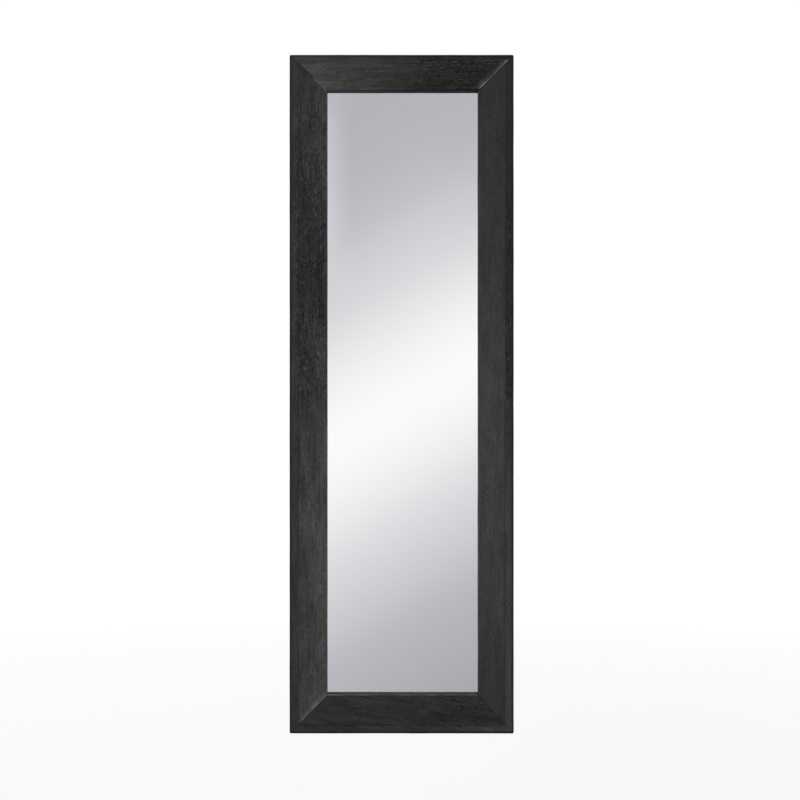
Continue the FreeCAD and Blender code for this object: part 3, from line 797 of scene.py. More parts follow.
PORES = Figure(7, 1.9, 1, 4.0, 0.6, 0.2, levels=(0.54, 0.63))
FLECKS = Figure(6, 2.1, 2, 4.0, 0.6, 0.2, levels=(0.57, 0.67))
OPEN_GRAIN = Figure(38, 11, 3, levels=(0.5, 0.75), tones=(0.05, 0.4), leans=False)
RAGGED_EDGES = replace(OPEN_GRAIN, levels=(0.35, 0.6), tones=(0.35, 1.0))
LINES = Figure(60, 2.6, 4, 3.0, where_open=1.8)
BLOTCHES = Figure(10, 4.5, 5, 4.0, 0.7, where_open=2.6)
CLOUDS = Figure(60, 16, 6, 3.0)
WARP = Figure(150, 30, 7)
WOBBLE = Figure(14, 9, 8, leans=False)
RUBBED_SPOTS = Figure(25, 25, 9, 4.0, levels=(0.35, 0.65), tones=(0.25, 1.0), leans=False)
WARMTH = Figure(90, 25, 10, levels=(0.35, 0.65), leans=False)
BROKEN_LINE = Figure(45, 30, 11, 3.0, levels=(0.4, 0.6), tones=(0.2, 1.0), leans=False)
FIBRES = Figure(5, 2, 12, 1.0, where_open=1.5)
HAIRS = Figure(16, 0.6, 13)


@dataclass(frozen=True)
class StainedWood(Finish):
    """Open-grained hardwood, planed, stained black and waxed.

    Stain pools in the pores and the plane polishes what is between them, so the eye finds dark dashes and
    pale flecks along the grain. The mitres and the sight arris are rubbed through to brown; on the sight
    arris, most of all on the bottom rail, that brown is also a painted highlight. Painted shade darkens the
    outer arris, a broken line where the chamfer meets the face and the top rail's sight arris, and painted
    light and shade give each chamfer its tone. Pores are drawn wider than the real 0.3 mm, so that they
    show. Lengths are in millimetres, and what turns over along the board does so between two shares of its
    length.
    """

    board: Board
    start_colour: str = "#303030"
    end_colour: str = "#303030"
    change: Span = (0.3, 0.6)
    warm_tint: tuple[float, ...] = (1.02, 1.0, 0.955, 1.0)
    cool_tint: tuple[float, ...] = (0.99, 1.0, 1.025, 1.0)
    # The brown of rubbed stain; along the sight arris it is also a painted highlight.
    worn_colour: str = "#6c6761"
    pore_tone: float = -0.7
    pore_depth: float = -0.8
    fleck_tone: float = 1.9
    # Painted shade on the rounded outer arris: where it ends in from the outer edge, the tone it falls to, and
    # how much grain shows through it.
    edge: Span = (3.4, 5.2)
    outer_arris_painted_shade: float = 0.45
    edge_grain: float = 0.35
    chamfer: float = 15
    # Painted light and shade on the sloping chamfer: its tone at the board's start and end, where it turns
    # over, and how soft its step is.
    chamfer_painted_light_and_shade: Span = (1.0, 1.0)
    chamfer_turn: Span = (0.35, 0.5)
    chamfer_fade: float = 0.5
    # A painted shadow in a broken line where the chamfer meets the face: how dark it is, and how wide below.
    chamfer_line_painted_shadow: float = 0.3
    line_width: float = 2
    inner_tone: float = 1.0
    lean: float = 0.0
    streaks: float = 0.35
    mottle: float = 0.35
    clouds: float = 0.75
    hairs: float = 0.4
    fibre: float = 0.7
    least_fibre: float = 0.25
    rings: float = 0.0
    ring_spacing: float = 9
    ring_warp: float = 50
    patches: tuple[Patch, ...] = ()
    patch_fade: Span = (45, 3)
    shades: tuple[Patch, ...] = ()
    shade_fade: Span = (110, 8)
    knots: tuple[Knot, ...] = ()
    knot_stretch: float = 2.2
    knot_wobble: float = 0.8
    knot_spacing: float = 0.3
    knot_fade: Span = (0.4, 1.2)
    knot_tone: float = 0.3
    start_mitre: Mitre = Mitre()
    end_mitre: Mitre = Mitre()
    gap_width: float = 2.5
    gap_fade: float = 3
    arris_width: float = 2.8
    worn_fade: float = 4
    # A band along the sight arris that is rubbed stain and a painted highlight at once: its strength at start
    # and end, where it turns over, how deep and how far it reaches, and its fade.
    sight_wear_and_highlight: Span = (0.1, 0.1)
    sight_wear_and_highlight_turn: Span = (0.1, 0.4)
    sight_wear_and_highlight_depth: Span = (0.8, 1.6)
    sight_wear_and_highlight_reach: Span = (-1.8, 1)
    sight_wear_and_highlight_fade: float = 0.6
    # Painted shade on the sight arris, which on the top rail faces down: its tone at start and end, where it
    # turns over, and where it reaches from the sight edge.
    sight_painted_shade: Span = (1.0, 1.0)
    sight_painted_shade_turn: Span = (0.1, 0.5)
    sight_painted_shade_reach: Span = (-2.5, -1)
    relief: float = 0.15
    relief_strength: float = 0.7
    wax_tones: Span = (0.6, 1.8)
    wax_roughness: Span = (0.66, 0.5)
    wax_shine: float = 0.25
    seed: float = 0.0

    def shade(self, graph: Graph) -> Node:
        """Draws the grain of the board."""
        return Grain(graph, self).surface()


NOISE_STEPS = ((31, 5.3), (7, 0), (0, 3.1))  # how far a board's seed and a figure's draw move X, Y and Z


class Grain:
    """The grain of one board in its own coordinates: X along it, Y in from its outer edge, Z its depth."""

    def __init__(self, graph: Graph, wood: StainedWood) -> None:
        """Lays the coordinates, along the board and along the lean of its grain.

        Args:
            graph: The graph of the board's material.
            wood: The finish of the board.
        """
        self.add, self.wood, self.board = graph.add, wood, wood.board
        along, across = self.board.along, self.board.across
        turn = Matrix((along, across, along.cross(across)))
        self.place = self.add(
            "Mapping",
            {"Vector": self.add("TexCoord").outputs["Object"], "Rotation": turn.to_euler(),
             "Location": -(turn @ self.board.origin)},
        )
        self.along, self.across, self.depth = self.add("SeparateXYZ", (self.place,)).outputs
        lean = (0, 0, math.radians(wood.lean))
        self.leaning = self.add("Mapping", {"Vector": self.place, "Rotation": lean})
        self.open = self.openness()
        self.sight = self.board.sight / MM
        self.mitres = [
            (wood.start_mitre, self.from_mitre(0, 1, self.board.start)),
            (wood.end_mitre, self.from_mitre(self.board.length, -1, self.board.end)),
        ]

    def surface(self) -> Node:
        """Lays the patterns over each other, and stains and waxes the wood.

        Returns:
            The shader.
        """
        wood = self.wood
        pores, flecks = (self.product(self.pattern(marks), self.open) for marks in (PORES, FLECKS))
        marks = (pores, wood.pore_tone), (flecks, wood.fleck_tone), (self.knot_rings(), wood.knot_tone)
        tone = self.product(self.layered(self.planed_tone(), *marks), self.section_tone())
        # Painted shade on the rounded outer arris: the tone falls to a dark grey there, with little grain
        # showing through.
        inside = self.step(self.across, wood.edge, wood.edge_grain, 1.0)
        tone = self.add("Mix", {"Factor": inside, "A": wood.outer_arris_painted_shade, "B": tone})
        blends = (
            (self.turn_over((0.0, 1.0), wood.change), wood.start_colour, wood.end_colour),
            (self.pattern(WARMTH), wood.cool_tint, wood.warm_tint),
        )
        stain, tint = (
            self.add("Mix", {"Factor": share, "A": start, "B": end}, data_type="RGBA")
            for share, start, end in blends
        )
        colour = self.add("VectorMath", (stain, tint), operation="MULTIPLY")
        colour = self.add("VectorMath", {0: colour, "Scale": tone}, operation="SCALE")
        # Rubbed stain at the mitres, and along the sight arris rubbed stain and a painted highlight, in the
        # brown.
        worn = {"Factor": self.wear_and_highlight(), "A": colour, "B": wood.worn_colour}
        colour = self.add("Mix", worn, data_type="RGBA")
        holes = self.product(pores, inside)
        height = self.add("Math", (holes, wood.pore_depth, tone), operation="MULTIPLY_ADD")
        relief = {"Height": height, "Strength": wood.relief_strength, "Distance": wood.relief * MM}
        bump = self.add("Bump", relief)
        roughness = self.add("MapRange", (tone, *wood.wax_tones, *wood.wax_roughness))
        return self.add(
            "BsdfPrincipled",
            {"Base Color": colour, "Roughness": roughness, "Specular IOR Level": wood.wax_shine,
             "Normal": bump},
        )

    def product(self, pattern: Any, *others: Any) -> Node:
        """Multiplies patterns, one after another.

        Args:
            pattern: The first of them.
            others: The others.

        Returns:
            The product.
        """
        for other in others:
            pattern = self.add("Math", (pattern, other), operation="MULTIPLY")
        return pattern

    def layered(self, tone: Any, *layers: tuple[Any, float]) -> Node:
        """Makes a tone lighter or darker by each pattern's share of it.

        Args:
            tone: The tone.
            layers: Each pattern and its strength.

        Returns:
            The new tone.
        """
        for pattern, strength in layers:
            change = self.add("Math", (pattern, strength, 1.0), operation="MULTIPLY_ADD")
            tone = self.product(tone, change)
        return tone

    def noise(self, figure: Figure) -> Node:
        """Adds one of the wood's noises.

        Args:
            figure: What the noise is like.

        Returns:
            The noise.
        """
        width = 1 / (figure.width * MM)
        shift_by = [self.wood.seed * seed + figure.draw * draw for seed, draw in NOISE_STEPS]
        place = self.add(
            "Mapping",
            {"Vector": self.leaning if figure.leans else self.place, "Location": shift_by,
             "Scale": (1 / (figure.length * MM), width, width)},
        )
        return self.add(
            "TexNoise",
            {"Vector": place, "Scale": 1.0, "Detail": figure.detail, "Roughness": figure.roughness,
             "Distortion": figure.distortion},
        )

    def pattern(self, figure: Figure) -> Node:
        """A noise's tones between its levels."""
        return self.add("MapRange", (self.noise(figure), *figure.levels, *figure.tones))

    def change(self, figure: Figure, strength: float) -> Node:
        """How much lighter or darker a noise makes the wood: in general, and more where the grain is open.

        Args:
            figure: What the noise is like.
            strength: Its strength in general.

        Returns:
            The factor of the wood's tone.
        """
        strength = self.add("Math", (self.open, figure.where_open, strength), operation="MULTIPLY_ADD")
        centred = self.add("Math", (self.noise(figure), 0.5), operation="SUBTRACT")
        return self.add("Math", (centred, strength, 1.0), operation="MULTIPLY_ADD")

    def step(self, value: Any, places: Span, near: Any, far: Any, soft: bool = False) -> Node:
        """Goes from one tone to another between two places.

        Args:
            value: The distance that the places are measured by.
            places: The places, in millimetres.
            near: The tone before them.
            far: The tone after them.
            soft: Whether it starts and ends softly.

        Returns:
            The tone.
        """
        kind = "SMOOTHSTEP" if soft else "LINEAR"
        start, end = (place * MM for place in places)
        return self.add("MapRange", (value, start, end, near, far), interpolation_type=kind)

    def band(self, value: Any, low: float, high: float, fade: float) -> Node:
        """One between two places, and a soft fall to nought outside them.

        Args:
            value: The distance that the places are measured by.
            low: The first place, in millimetres.
            high: The second place.
            fade: The width of the fall.

        Returns:
            The band.
        """
        half = (high - low) / 2
        away = self.add("Math", (value, (low + high) / 2 * MM), operation="SUBTRACT")
        away = self.add("Math", (away,), operation="ABSOLUTE")
        return self.step(away, (half - fade / 2, half + fade), 1.0, 0.0, soft=True)

    def within(self, patch: Patch, fades: Span) -> Node:
        """One in a patch of the board, with its fades along and across the board."""
        along = self.band(self.along, patch.start, patch.end, fades[0])
        return self.product(along, self.band(self.across, patch.near, patch.far, fades[1]))

    def turn_over(self, values: Span, shares: Span) -> Node:
        """Turns from a value at the board's start to another at its end, between two shares of its length."""
        start, end = (self.board.length * share for share in shares)
        return self.add("MapRange", (self.along, start, end, *values))

    def openness(self) -> Node:
        """How open the grain is: little in general, and much in the patches, with ragged edges.

        Returns:
            The openness, from 0 to 1, and more in a patch of greater strength.
        """
        total, edges = self.pattern(OPEN_GRAIN), self.pattern(RAGGED_EDGES)
        for patch in self.wood.patches:
            inside = self.product(self.within(patch, self.wood.patch_fade), edges, patch.strength)
            total = self.add("Math", (total, inside), operation="MAXIMUM")
        return total

    def planed_tone(self) -> Node:
        """Growth rings that lean across the board, and what lies on them along the grain.

        Returns:
            The tone.
        """
        wood = self.wood
        across = self.add("SeparateXYZ", (self.leaning,)).outputs[1]
        bent = self.add("Math", (self.noise(WARP), wood.ring_warp * MM, across), operation="MULTIPLY_ADD")
        turns = self.product(bent, math.tau / (wood.ring_spacing * MM))
        rings = self.add("Math", (turns,), operation="SINE")
        *broad, fibres = (
            self.change(figure, strength)
            for figure, strength in (
                (LINES, 2 * wood.streaks), (BLOTCHES, 2 * wood.mottle), (CLOUDS, 2 * wood.clouds),
                (HAIRS, 2 * wood.hairs), (FIBRES, wood.fibre),
            )
        )
        fibres = self.add("Math", (fibres, wood.least_fibre), operation="MAXIMUM")
        return self.product(self.layered(1.0, (rings, wood.rings)), *broad, fibres)

    def knot_rings(self) -> Any:
        """Pale and dark rings round each knot, longer along the board than across it.

        Returns:
            The rings, from -1 to 1.
        """
        wood, stretch = self.wood, self.wood.knot_stretch
        wobble = self.noise(WOBBLE)
        total: Any = 0.0
        for knot in wood.knots:
            centre, scale = (-knot.along * MM / stretch, -knot.across * MM, 0), (1 / stretch, 1, 0)
            local = self.add("Mapping", {"Vector": self.place, "Location": centre, "Scale": scale})
            away = self.add("VectorMath", (local,), operation="LENGTH").outputs["Value"]
            wobbling = knot.radius * MM * wood.knot_wobble
            bent = self.add("Math", (wobble, wobbling, away), operation="MULTIPLY_ADD")
            turns = self.product(bent, math.tau / (knot.radius * MM * wood.knot_spacing))
            rings = self.add("Math", (turns,), operation="SINE")
            reach, fade = (knot.radius * share for share in wood.knot_fade)
            near = self.step(away, (reach, fade), 1.0, 0.0, soft=True)
            total = self.add("Math", (rings, near, total), operation="MULTIPLY_ADD")
        return total

    def section_tone(self) -> Node:
        """The tone over the section: painted shade on the outer arris and, where set, on the sight arris; a
        painted shadow in a broken line where the chamfer meets the face; dark mitre gaps; painted light and
        shade on the chamfer; a change of tone inwards; and a lighter or darker tone in each listed stretch.

        Returns:
            The tone.
        """
        wood, chamfer, fade = self.wood, self.wood.chamfer, self.wood.chamfer_fade
        # Painted light and shade on the chamfer, which slopes away from the face.
        chamfer_painted_tone = self.turn_over(wood.chamfer_painted_light_and_shade, wood.chamfer_turn)
        # Painted shade on the sight arris.
        sight_painted_shade = self.turn_over(wood.sight_painted_shade, wood.sight_painted_shade_turn)
        steps = (
            (wood.edge, wood.outer_arris_painted_shade, 1.0), ((chamfer - fade, chamfer + fade), chamfer_painted_tone, 1.0),
            ((chamfer, self.board.width / MM), 1.0, wood.inner_tone),
            ([self.sight + reach for reach in wood.sight_painted_shade_reach], 1.0, sight_painted_shade),
        )
        tone = self.product(*(self.step(self.across, *tones) for tones in steps))
        # A painted shadow in a broken line where the chamfer meets the face.
        line = self.band(self.across, chamfer, chamfer + wood.line_width, wood.line_width / 2)
        line = self.product(line, self.pattern(BROKEN_LINE))
        layers = [(self.within(shade, wood.shade_fade), shade.strength) for shade in wood.shades]
        layers.append((line, -wood.chamfer_line_painted_shadow))
        for mitre, distance in self.mitres:
            gap = self.step(distance, (0, wood.gap_width), -mitre.dark, 0.0)
            layers.append((self.product(gap, self.band(self.across, *mitre.darkened, wood.gap_fade)), 1.0))
        return self.layered(tone, *layers)

    def from_mitre(self, end: float, way: int, neighbour: float) -> bpy.types.NodeSocket:
        """The distance from a mitre of the board.

        Args:
            end: How far along the board its outer corner is.
            way: The way from there into the board: 1 or -1.
            neighbour: The width of the member that it meets.

        Returns:
            The distance, in metres.
        """
        normal = Vector((way * self.board.width, -neighbour, 0)).normalized()
        corner = self.add("Mapping", {"Vector": self.place, "Location": (-end, 0, 0)})
        return self.add("VectorMath", (corner, normal), operation="DOT_PRODUCT").outputs["Value"]

    def wear_and_highlight(self) -> Node:
        """Where the stain is rubbed through at the mitres, and a band along the sight arris that is rubbed
        stain and a painted highlight at once, all in broken lines.

        Returns:
            How much stain is rubbed off there, with the painted highlight, from 0 to 1.
        """
        wood = self.wood
        total: Any = 0.0
        for mitre, distance in self.mitres:
            rubbed = self.band(self.across, *mitre.worn, wood.worn_fade)
            for reach, strength in ((wood.arris_width, mitre.arris), (mitre.reach, mitre.face)):
                near = self.step(distance, (0, reach), strength, 0.0, soft=True)
                total = self.add("Math", (near, rubbed, total), operation="MULTIPLY_ADD")
        # Along the sight arris: a band of rubbed stain and painted highlight, near the front only.
        depth = self.add("Math", (self.depth,), operation="ABSOLUTE")
        front = self.step(depth, wood.sight_wear_and_highlight_depth, 1.0, 0.0)
        start, end = (self.sight + reach for reach in wood.sight_wear_and_highlight_reach)
        arris = self.product(front, self.band(self.across, start, end, wood.sight_wear_and_highlight_fade))
        strength = self.turn_over(wood.sight_wear_and_highlight, wood.sight_wear_and_highlight_turn)
        total = self.add("Math", (arris, strength, total), operation="MULTIPLY_ADD")
        return self.add("Math", (total, self.pattern(RUBBED_SPOTS)), operation="MULTIPLY", use_clamp=True)


ZINC = Plate("zinc_plated_rolled_sheet", "zinc_steel")
ZINC_SCREW = Plate(
    "zinc_plated_screw", "zinc_screws", colour="#c3c4c6", roughness=0.26, line_length=2 * MM,
    cloud_size=3 * MM,
)
STRIKE = Plate("zinc_plated_strike", "strike_steel", colour="#b4b5b8", along=Z_AXIS, line_spacing=0.6 * MM)
NICKEL = Plate(
    "satin_nickel_plate", "hinge_steel", colour="#b5b1aa", shade_colour="#9d9992", roughness=0.34,
    along=Z_AXIS, line_spacing=0.5 * MM, line_length=25 * MM,
)
BALL_STEEL = Plate(
    "polished_ball_steel", "bearing_steel", colour="#d5d6d8", shade_colour="#c6c7ca", roughness=0.08,
    line_length=3 * MM, cloud_size=2 * MM,
)
STRIP_STEEL = Plate(
    "plain_strip_steel", "retainer_steel", colour="#a9abac", shade_colour="#8d8f90", roughness=0.4
)
POLE_STEEL = Plate("ground_pole_steel", "magnet", colour="#9a9b9d", shade_colour="#808183", roughness=0.35)
POWDER = Moulded(
    "black_powder_coat", "black_steel", colour="#1c1c1d", worn_colour="#232324", roughness=0.42,
    grain=0.9 * MM, relief=0.04 * MM,
)
CAP_PLASTIC = Moulded("moulded_polyethylene", "cap_plastic", colour="#1a1a1b", roughness=0.55, grain=0.5 * MM)
CATCH_PLASTIC = Moulded("moulded_nylon", "black_plastic", colour="#1d1d1e", roughness=0.48, grain=0.4 * MM)
RUBBER = Moulded(
    "moulded_black_rubber", "block_rubber", colour="#1b1b1b", worn_colour="#303030", roughness=0.85,
    grain=0.6 * MM,
)
BUFFER_RUBBER = Moulded(
    "moulded_grey_rubber", "buffer_rubber", colour="#3a3a3b", worn_colour="#4c4c4c", roughness=0.85
)
FERRITE = Moulded(
    "sintered_ferrite", "magnet", colour="#2b2c2e", worn_colour="#3d3e40", roughness=0.6, grain=0.8 * MM
)
BOARD_BROWN = Hardboard("smooth_hardboard", "hardboard")
PLY = Plywood("birch_plywood", "plain_wood")
WHITE_FOAM = Foam("polyethylene_foam", "foam")
SILVER = SilveredGlass("silvered_float_glass", "mirror")


# Fasteners


class Heading(Enum):
    """The way that a screw's head faces."""

    FRONT = -1
    BACK = 1

    def turn(self) -> Matrix:
        """Turns a screw whose head faces the front."""
        return Matrix.Rotation(0 if self is Heading.FRONT else math.pi, 4, "Z")


@dataclass
class Screw:
    """A wood screw with a cross recess. It is made at the origin with its head towards -Y."""

    head_radius: float = 3.15 * MM
    head_height: float = 1.8 * MM
    shank_radius: float = 1.5 * MM
    length: float = 9 * MM
    recess_reach: float = 1.9 * MM
    recess_width: float = 0.75 * MM
    recess_depth: float = 1.3 * MM
    recess_taper: float = 0.45
    rim: float = 0.25 * MM
    pan_flatness: float = 0.6
    tip_start_share: float = 0.75
    tip_radius_share: float = 0.4
    countersunk: bool = True
    turn_step: float = 0.7

    def profile(self) -> Profile:
        """Each point's radius and its height in front of the seat, from the head's top to the tip."""
        head, shank, end = self.head_radius, self.shank_radius, -self.length
        tip = [(shank, end * self.tip_start_share), (shank * self.tip_radius_share, end), (0, end)]
        if self.countersunk:
            return [(0, 0), (head, 0), (head, -self.rim), (shank, shank - head - self.rim), *tip]
        pan = dome(head, 0, self.head_height, 6, power=self.pan_flatness)[:-1]
        return [*pan, (head, 0), (shank, 0), *tip]

    def shape(self, name: str) -> Shaper:
        """Turns the screw and presses its cross recess.

        Args:
            name: The name of the screw.

        Returns:
            The shaper of the screw.
        """
        screw = Shaper.turned(name, self.profile(), -Y_AXIS, steps=20)
        top = 0 if self.countersunk else self.head_height
        blades = []
        for reach, width in ((self.recess_reach, self.recess_width), (self.recess_width, self.recess_reach)):
            low, high = Vector((-reach, -top - MM, -width)), Vector((reach, self.recess_depth - top, width))
            blade, deep = Shaper.box("blade", low, high), faces_towards(Y_AXIS)
            taper = (self.recess_taper, 1, self.recess_taper)
            blades.append(blade.edit(Element.FACE, deep, bpy.ops.transform.resize, value=taper))
        return screw.cut(*blades)

    def set_in(self, name: str, seats: Sequence[Vector], heading: Heading, body: str) -> None:
        """Copies the screw to its seats and dresses the copies.

        Args:
            name: The name of the group of screws.
            seats: Where the seat of each head is.
            heading: The way that the heads face.
            body: The body that they move with.
        """
        places = [
            Matrix.Translation(seat) @ heading.turn() @ Matrix.Rotation(self.turn_step * i, 4, "Y")
            for i, seat in enumerate(seats)
        ]
        self.shape(f"{name}_pattern").copies(name, places).done(ZINC_SCREW, body)


@dataclass(frozen=True)
class Countersink:
    """A screw's hole, and the cone that its head sits in."""

    mouth: float
    rim: float
    hole: float
    depth: float
    above: float = 1 * MM
    through: float = 4 * MM

    def cut(self, plate: Shaper, seats: Sequence[Vector], way: int) -> None:
        """Cuts the hole at every seat.

        Args:
            plate: The piece that the screws go through.
            seats: Where the rim of each hole is.
            way: 1 where the heads face the back, and -1 where they face the front.
        """
        cone = [(0, self.above), (self.mouth, self.above), (self.rim, 0), (self.hole, -self.depth)]
        profile = [*cone, (self.hole, -self.through), (0, -self.through)]
        for seat in seats:
            plate.cut(Shaper.turned("countersink", profile, Y_AXIS * way).moved(Matrix.Translation(seat)))


@dataclass
class Hexagon:
    """Hexagon bolts and nuts of 7 mm across flats, chamfered as they are turned from bar."""

    across_flats: float = 7 * MM
    chamfer: float = 0.55 * MM
    face_share: float = 0.97
    depth_per_pitch: float = 0.6
    core_excess: float = 0.02 * MM
    thread_steps: int = 16

    def blank(self, name: str, back: float, front: float, both_ends: bool) -> Shaper:
        """A hexagon between two places along Y, with its outer end or both ends chamfered.

        Args:
            name: The name of the blank.
            back: The Y of its back end.
            front: The Y of its front end.
            both_ends: Whether the back end is chamfered too.

        Returns:
            The shaper of the blank.
        """
        corner = self.across_flats / math.sqrt(3)
        blank = Shaper.rod(name, Y_AXIS * back, Y_AXIS * front, corner, sides=6)
        flat = self.across_flats / 2 * self.face_share
        near = [(0, -front), (flat, -front), (corner, -front - self.chamfer)]
        far = [(corner, -back + self.chamfer), (flat, -back), (0, -back)]
        if not both_ends:
            far = [(corner, -back), (0, -back)]
        envelope = Shaper.turned("envelope", near + far, -Y_AXIS, steps=48)
        return blank.cut(envelope, operation="INTERSECT")

    def thread(self, name: str, start: float, end: float, radius: float, pitch: float = 0.7 * MM) -> Shaper:
        """A threaded shank along Y: a toothed profile wound into a screw.

        Args:
            name: The name of the thread.
            start: The Y where it starts.
            end: The Y where it ends.
            radius: Its outer radius.
            pitch: The distance from tooth to tooth.

        Returns:
            The shaper of the thread.
        """
        root_radius = radius - self.depth_per_pitch * pitch
        turns = int((end - start) / pitch)
        tooth = [Vector((root_radius, 0, 0)), Vector((radius, pitch / 2, 0)), Vector((root_radius, pitch, 0))]
        line = [point + Y_AXIS * start for point in tooth]
        thread = Shaper.path(name, line).modify(
            "SCREW", axis="Y", angle=math.tau, screw_offset=pitch, iterations=turns, steps=self.thread_steps,
            render_steps=self.thread_steps, use_merge_vertices=True,
        )
        thread.close()
        core_radius = root_radius + self.core_excess
        return thread.join(Shaper.rod("core", Y_AXIS * start, Y_AXIS * (end + pitch), core_radius))


# The wood frame


class Member(Enum):
    """A member of the wood frame, by its node."""

    LEFT = "left_stile"
    TOP = "top_rail"
    RIGHT = "right_stile"
    BOTTOM = "bottom_rail"


INNER = 66  # how far in a patch over the flat of a member reaches, in millimetres

# Each member is cut from another board, so each has its own colour and figure. Each also has its own painted
# light and shade on the chamfer, and the top and bottom rails a painted shade or highlight on the sight arris.
BOARD_LOOKS: dict[Member, dict[str, Any]] = {
    Member.LEFT: {
        "start_colour": "#363636", "end_colour": "#2a2a2a", "change": (0.35, 0.55), "inner_tone": 1.5,
        "mottle": 0.3, "streaks": 0.42, "fibre": 0.95, "worn_colour": "#7c7b78", "chamfer_painted_light_and_shade": (0.8, 1.05),
        "chamfer_line_painted_shadow": 0.4, "seed": 0.37,
        "shades": (
            Patch(830, 970, 22, 62, -0.3), Patch(750, 840, 18, 90, -0.35), Patch(650, 860, 0, 12, 0.2),
            Patch(230, 330, 54, 90, 0.3), Patch(70, 80, 54, 90, -0.3),
        ),
        "patches": (
            Patch(600, 1040, 15, INNER), Patch(720, 1060, 10, 17), Patch(1060, 1130, 20, INNER, 0.5),
        ),
        "knots": (Knot(1088, 45, 17), Knot(816, 50, 9), Knot(279, 55, 7)),
        "start_mitre": Mitre(0.65, 0.42, 11, worn=(21, 80), dark=0.15, darkened=(-10, 15)),
        "end_mitre": Mitre(0.6, worn=(44, 80), dark=0.4, darkened=(18, 80)),
    },
    Member.TOP: {
        "start_colour": "#3e3e3c", "end_colour": "#1b1a17", "change": (0.15, 0.64), "mottle": 0.34,
        "streaks": 0.5, "fibre": 0.7, "worn_colour": "#878079", "chamfer_painted_light_and_shade": (0.85, 1.0),
        "sight_wear_and_highlight": (0.1, 0.0), "sight_painted_shade": (1.0, 0.55), "seed": 1.91,
        "patches": (Patch(235, 385, 5, INNER, 1.5), Patch(80, 200, 5, INNER, 0.15)),
        "shades": (Patch(-100, -20, 0, 18, -0.5), Patch(165, 205, 0, 13, -0.25), Patch(270, 290, 0, 30, 0.3)),
        "start_mitre": Mitre(0.15, worn=(48, 80), dark=0.1),
        "end_mitre": Mitre(0.85, 0.26, 12, worn=(11, 60), dark=0.2, darkened=(-10, 9)),
    },
    Member.RIGHT: {
        "start_colour": "#343434", "end_colour": "#302f2e", "mottle": 0.19, "streaks": 0.26, "hairs": 0.25,
        "clouds": 0.45, "chamfer_painted_light_and_shade": (1.28, 0.6), "seed": 2.73,
        "patches": (Patch(540, 970, 0, 14),),
        "shades": (
            Patch(480, 750, 18, 90, 0.4), Patch(1040, 1300, 18, 90, -0.2), Patch(-100, 90, 18, 90, -0.15),
            Patch(-100, 130, 18, 32, -0.15), Patch(230, 430, 22, 90, 0.18),
        ),
        "start_mitre": Mitre(dark=0.2, darkened=(20, 80)),
        "end_mitre": Mitre(dark=0.3),
    },
    Member.BOTTOM: {
        "start_colour": "#2a2a2a", "end_colour": "#282828", "rings": 0.12, "mottle": 0.34, "lean": 9,
        "streaks": 0.52, "chamfer_painted_light_and_shade": (1.15, 1.3), "sight_wear_and_highlight": (1.6, 0.7), "worn_colour": "#68665a",
        "chamfer_line_painted_shadow": 0.45, "seed": 4.18,
        "patches": (Patch(205, 224, 8, 22), Patch(240, 380, 15, INNER, 0.65)),
        "shades": (
            Patch(350, 500, 22, 90, -0.25), Patch(370, 500, 0, 13, 0.5), Patch(200, 240, 28, 46, -0.25),
            Patch(110, 200, 56, 90, 0.14),
        ),
        "start_mitre": Mitre(dark=0.2),
        "end_mitre": Mitre(dark=0.55, darkened=(20, 80)),
    },
}


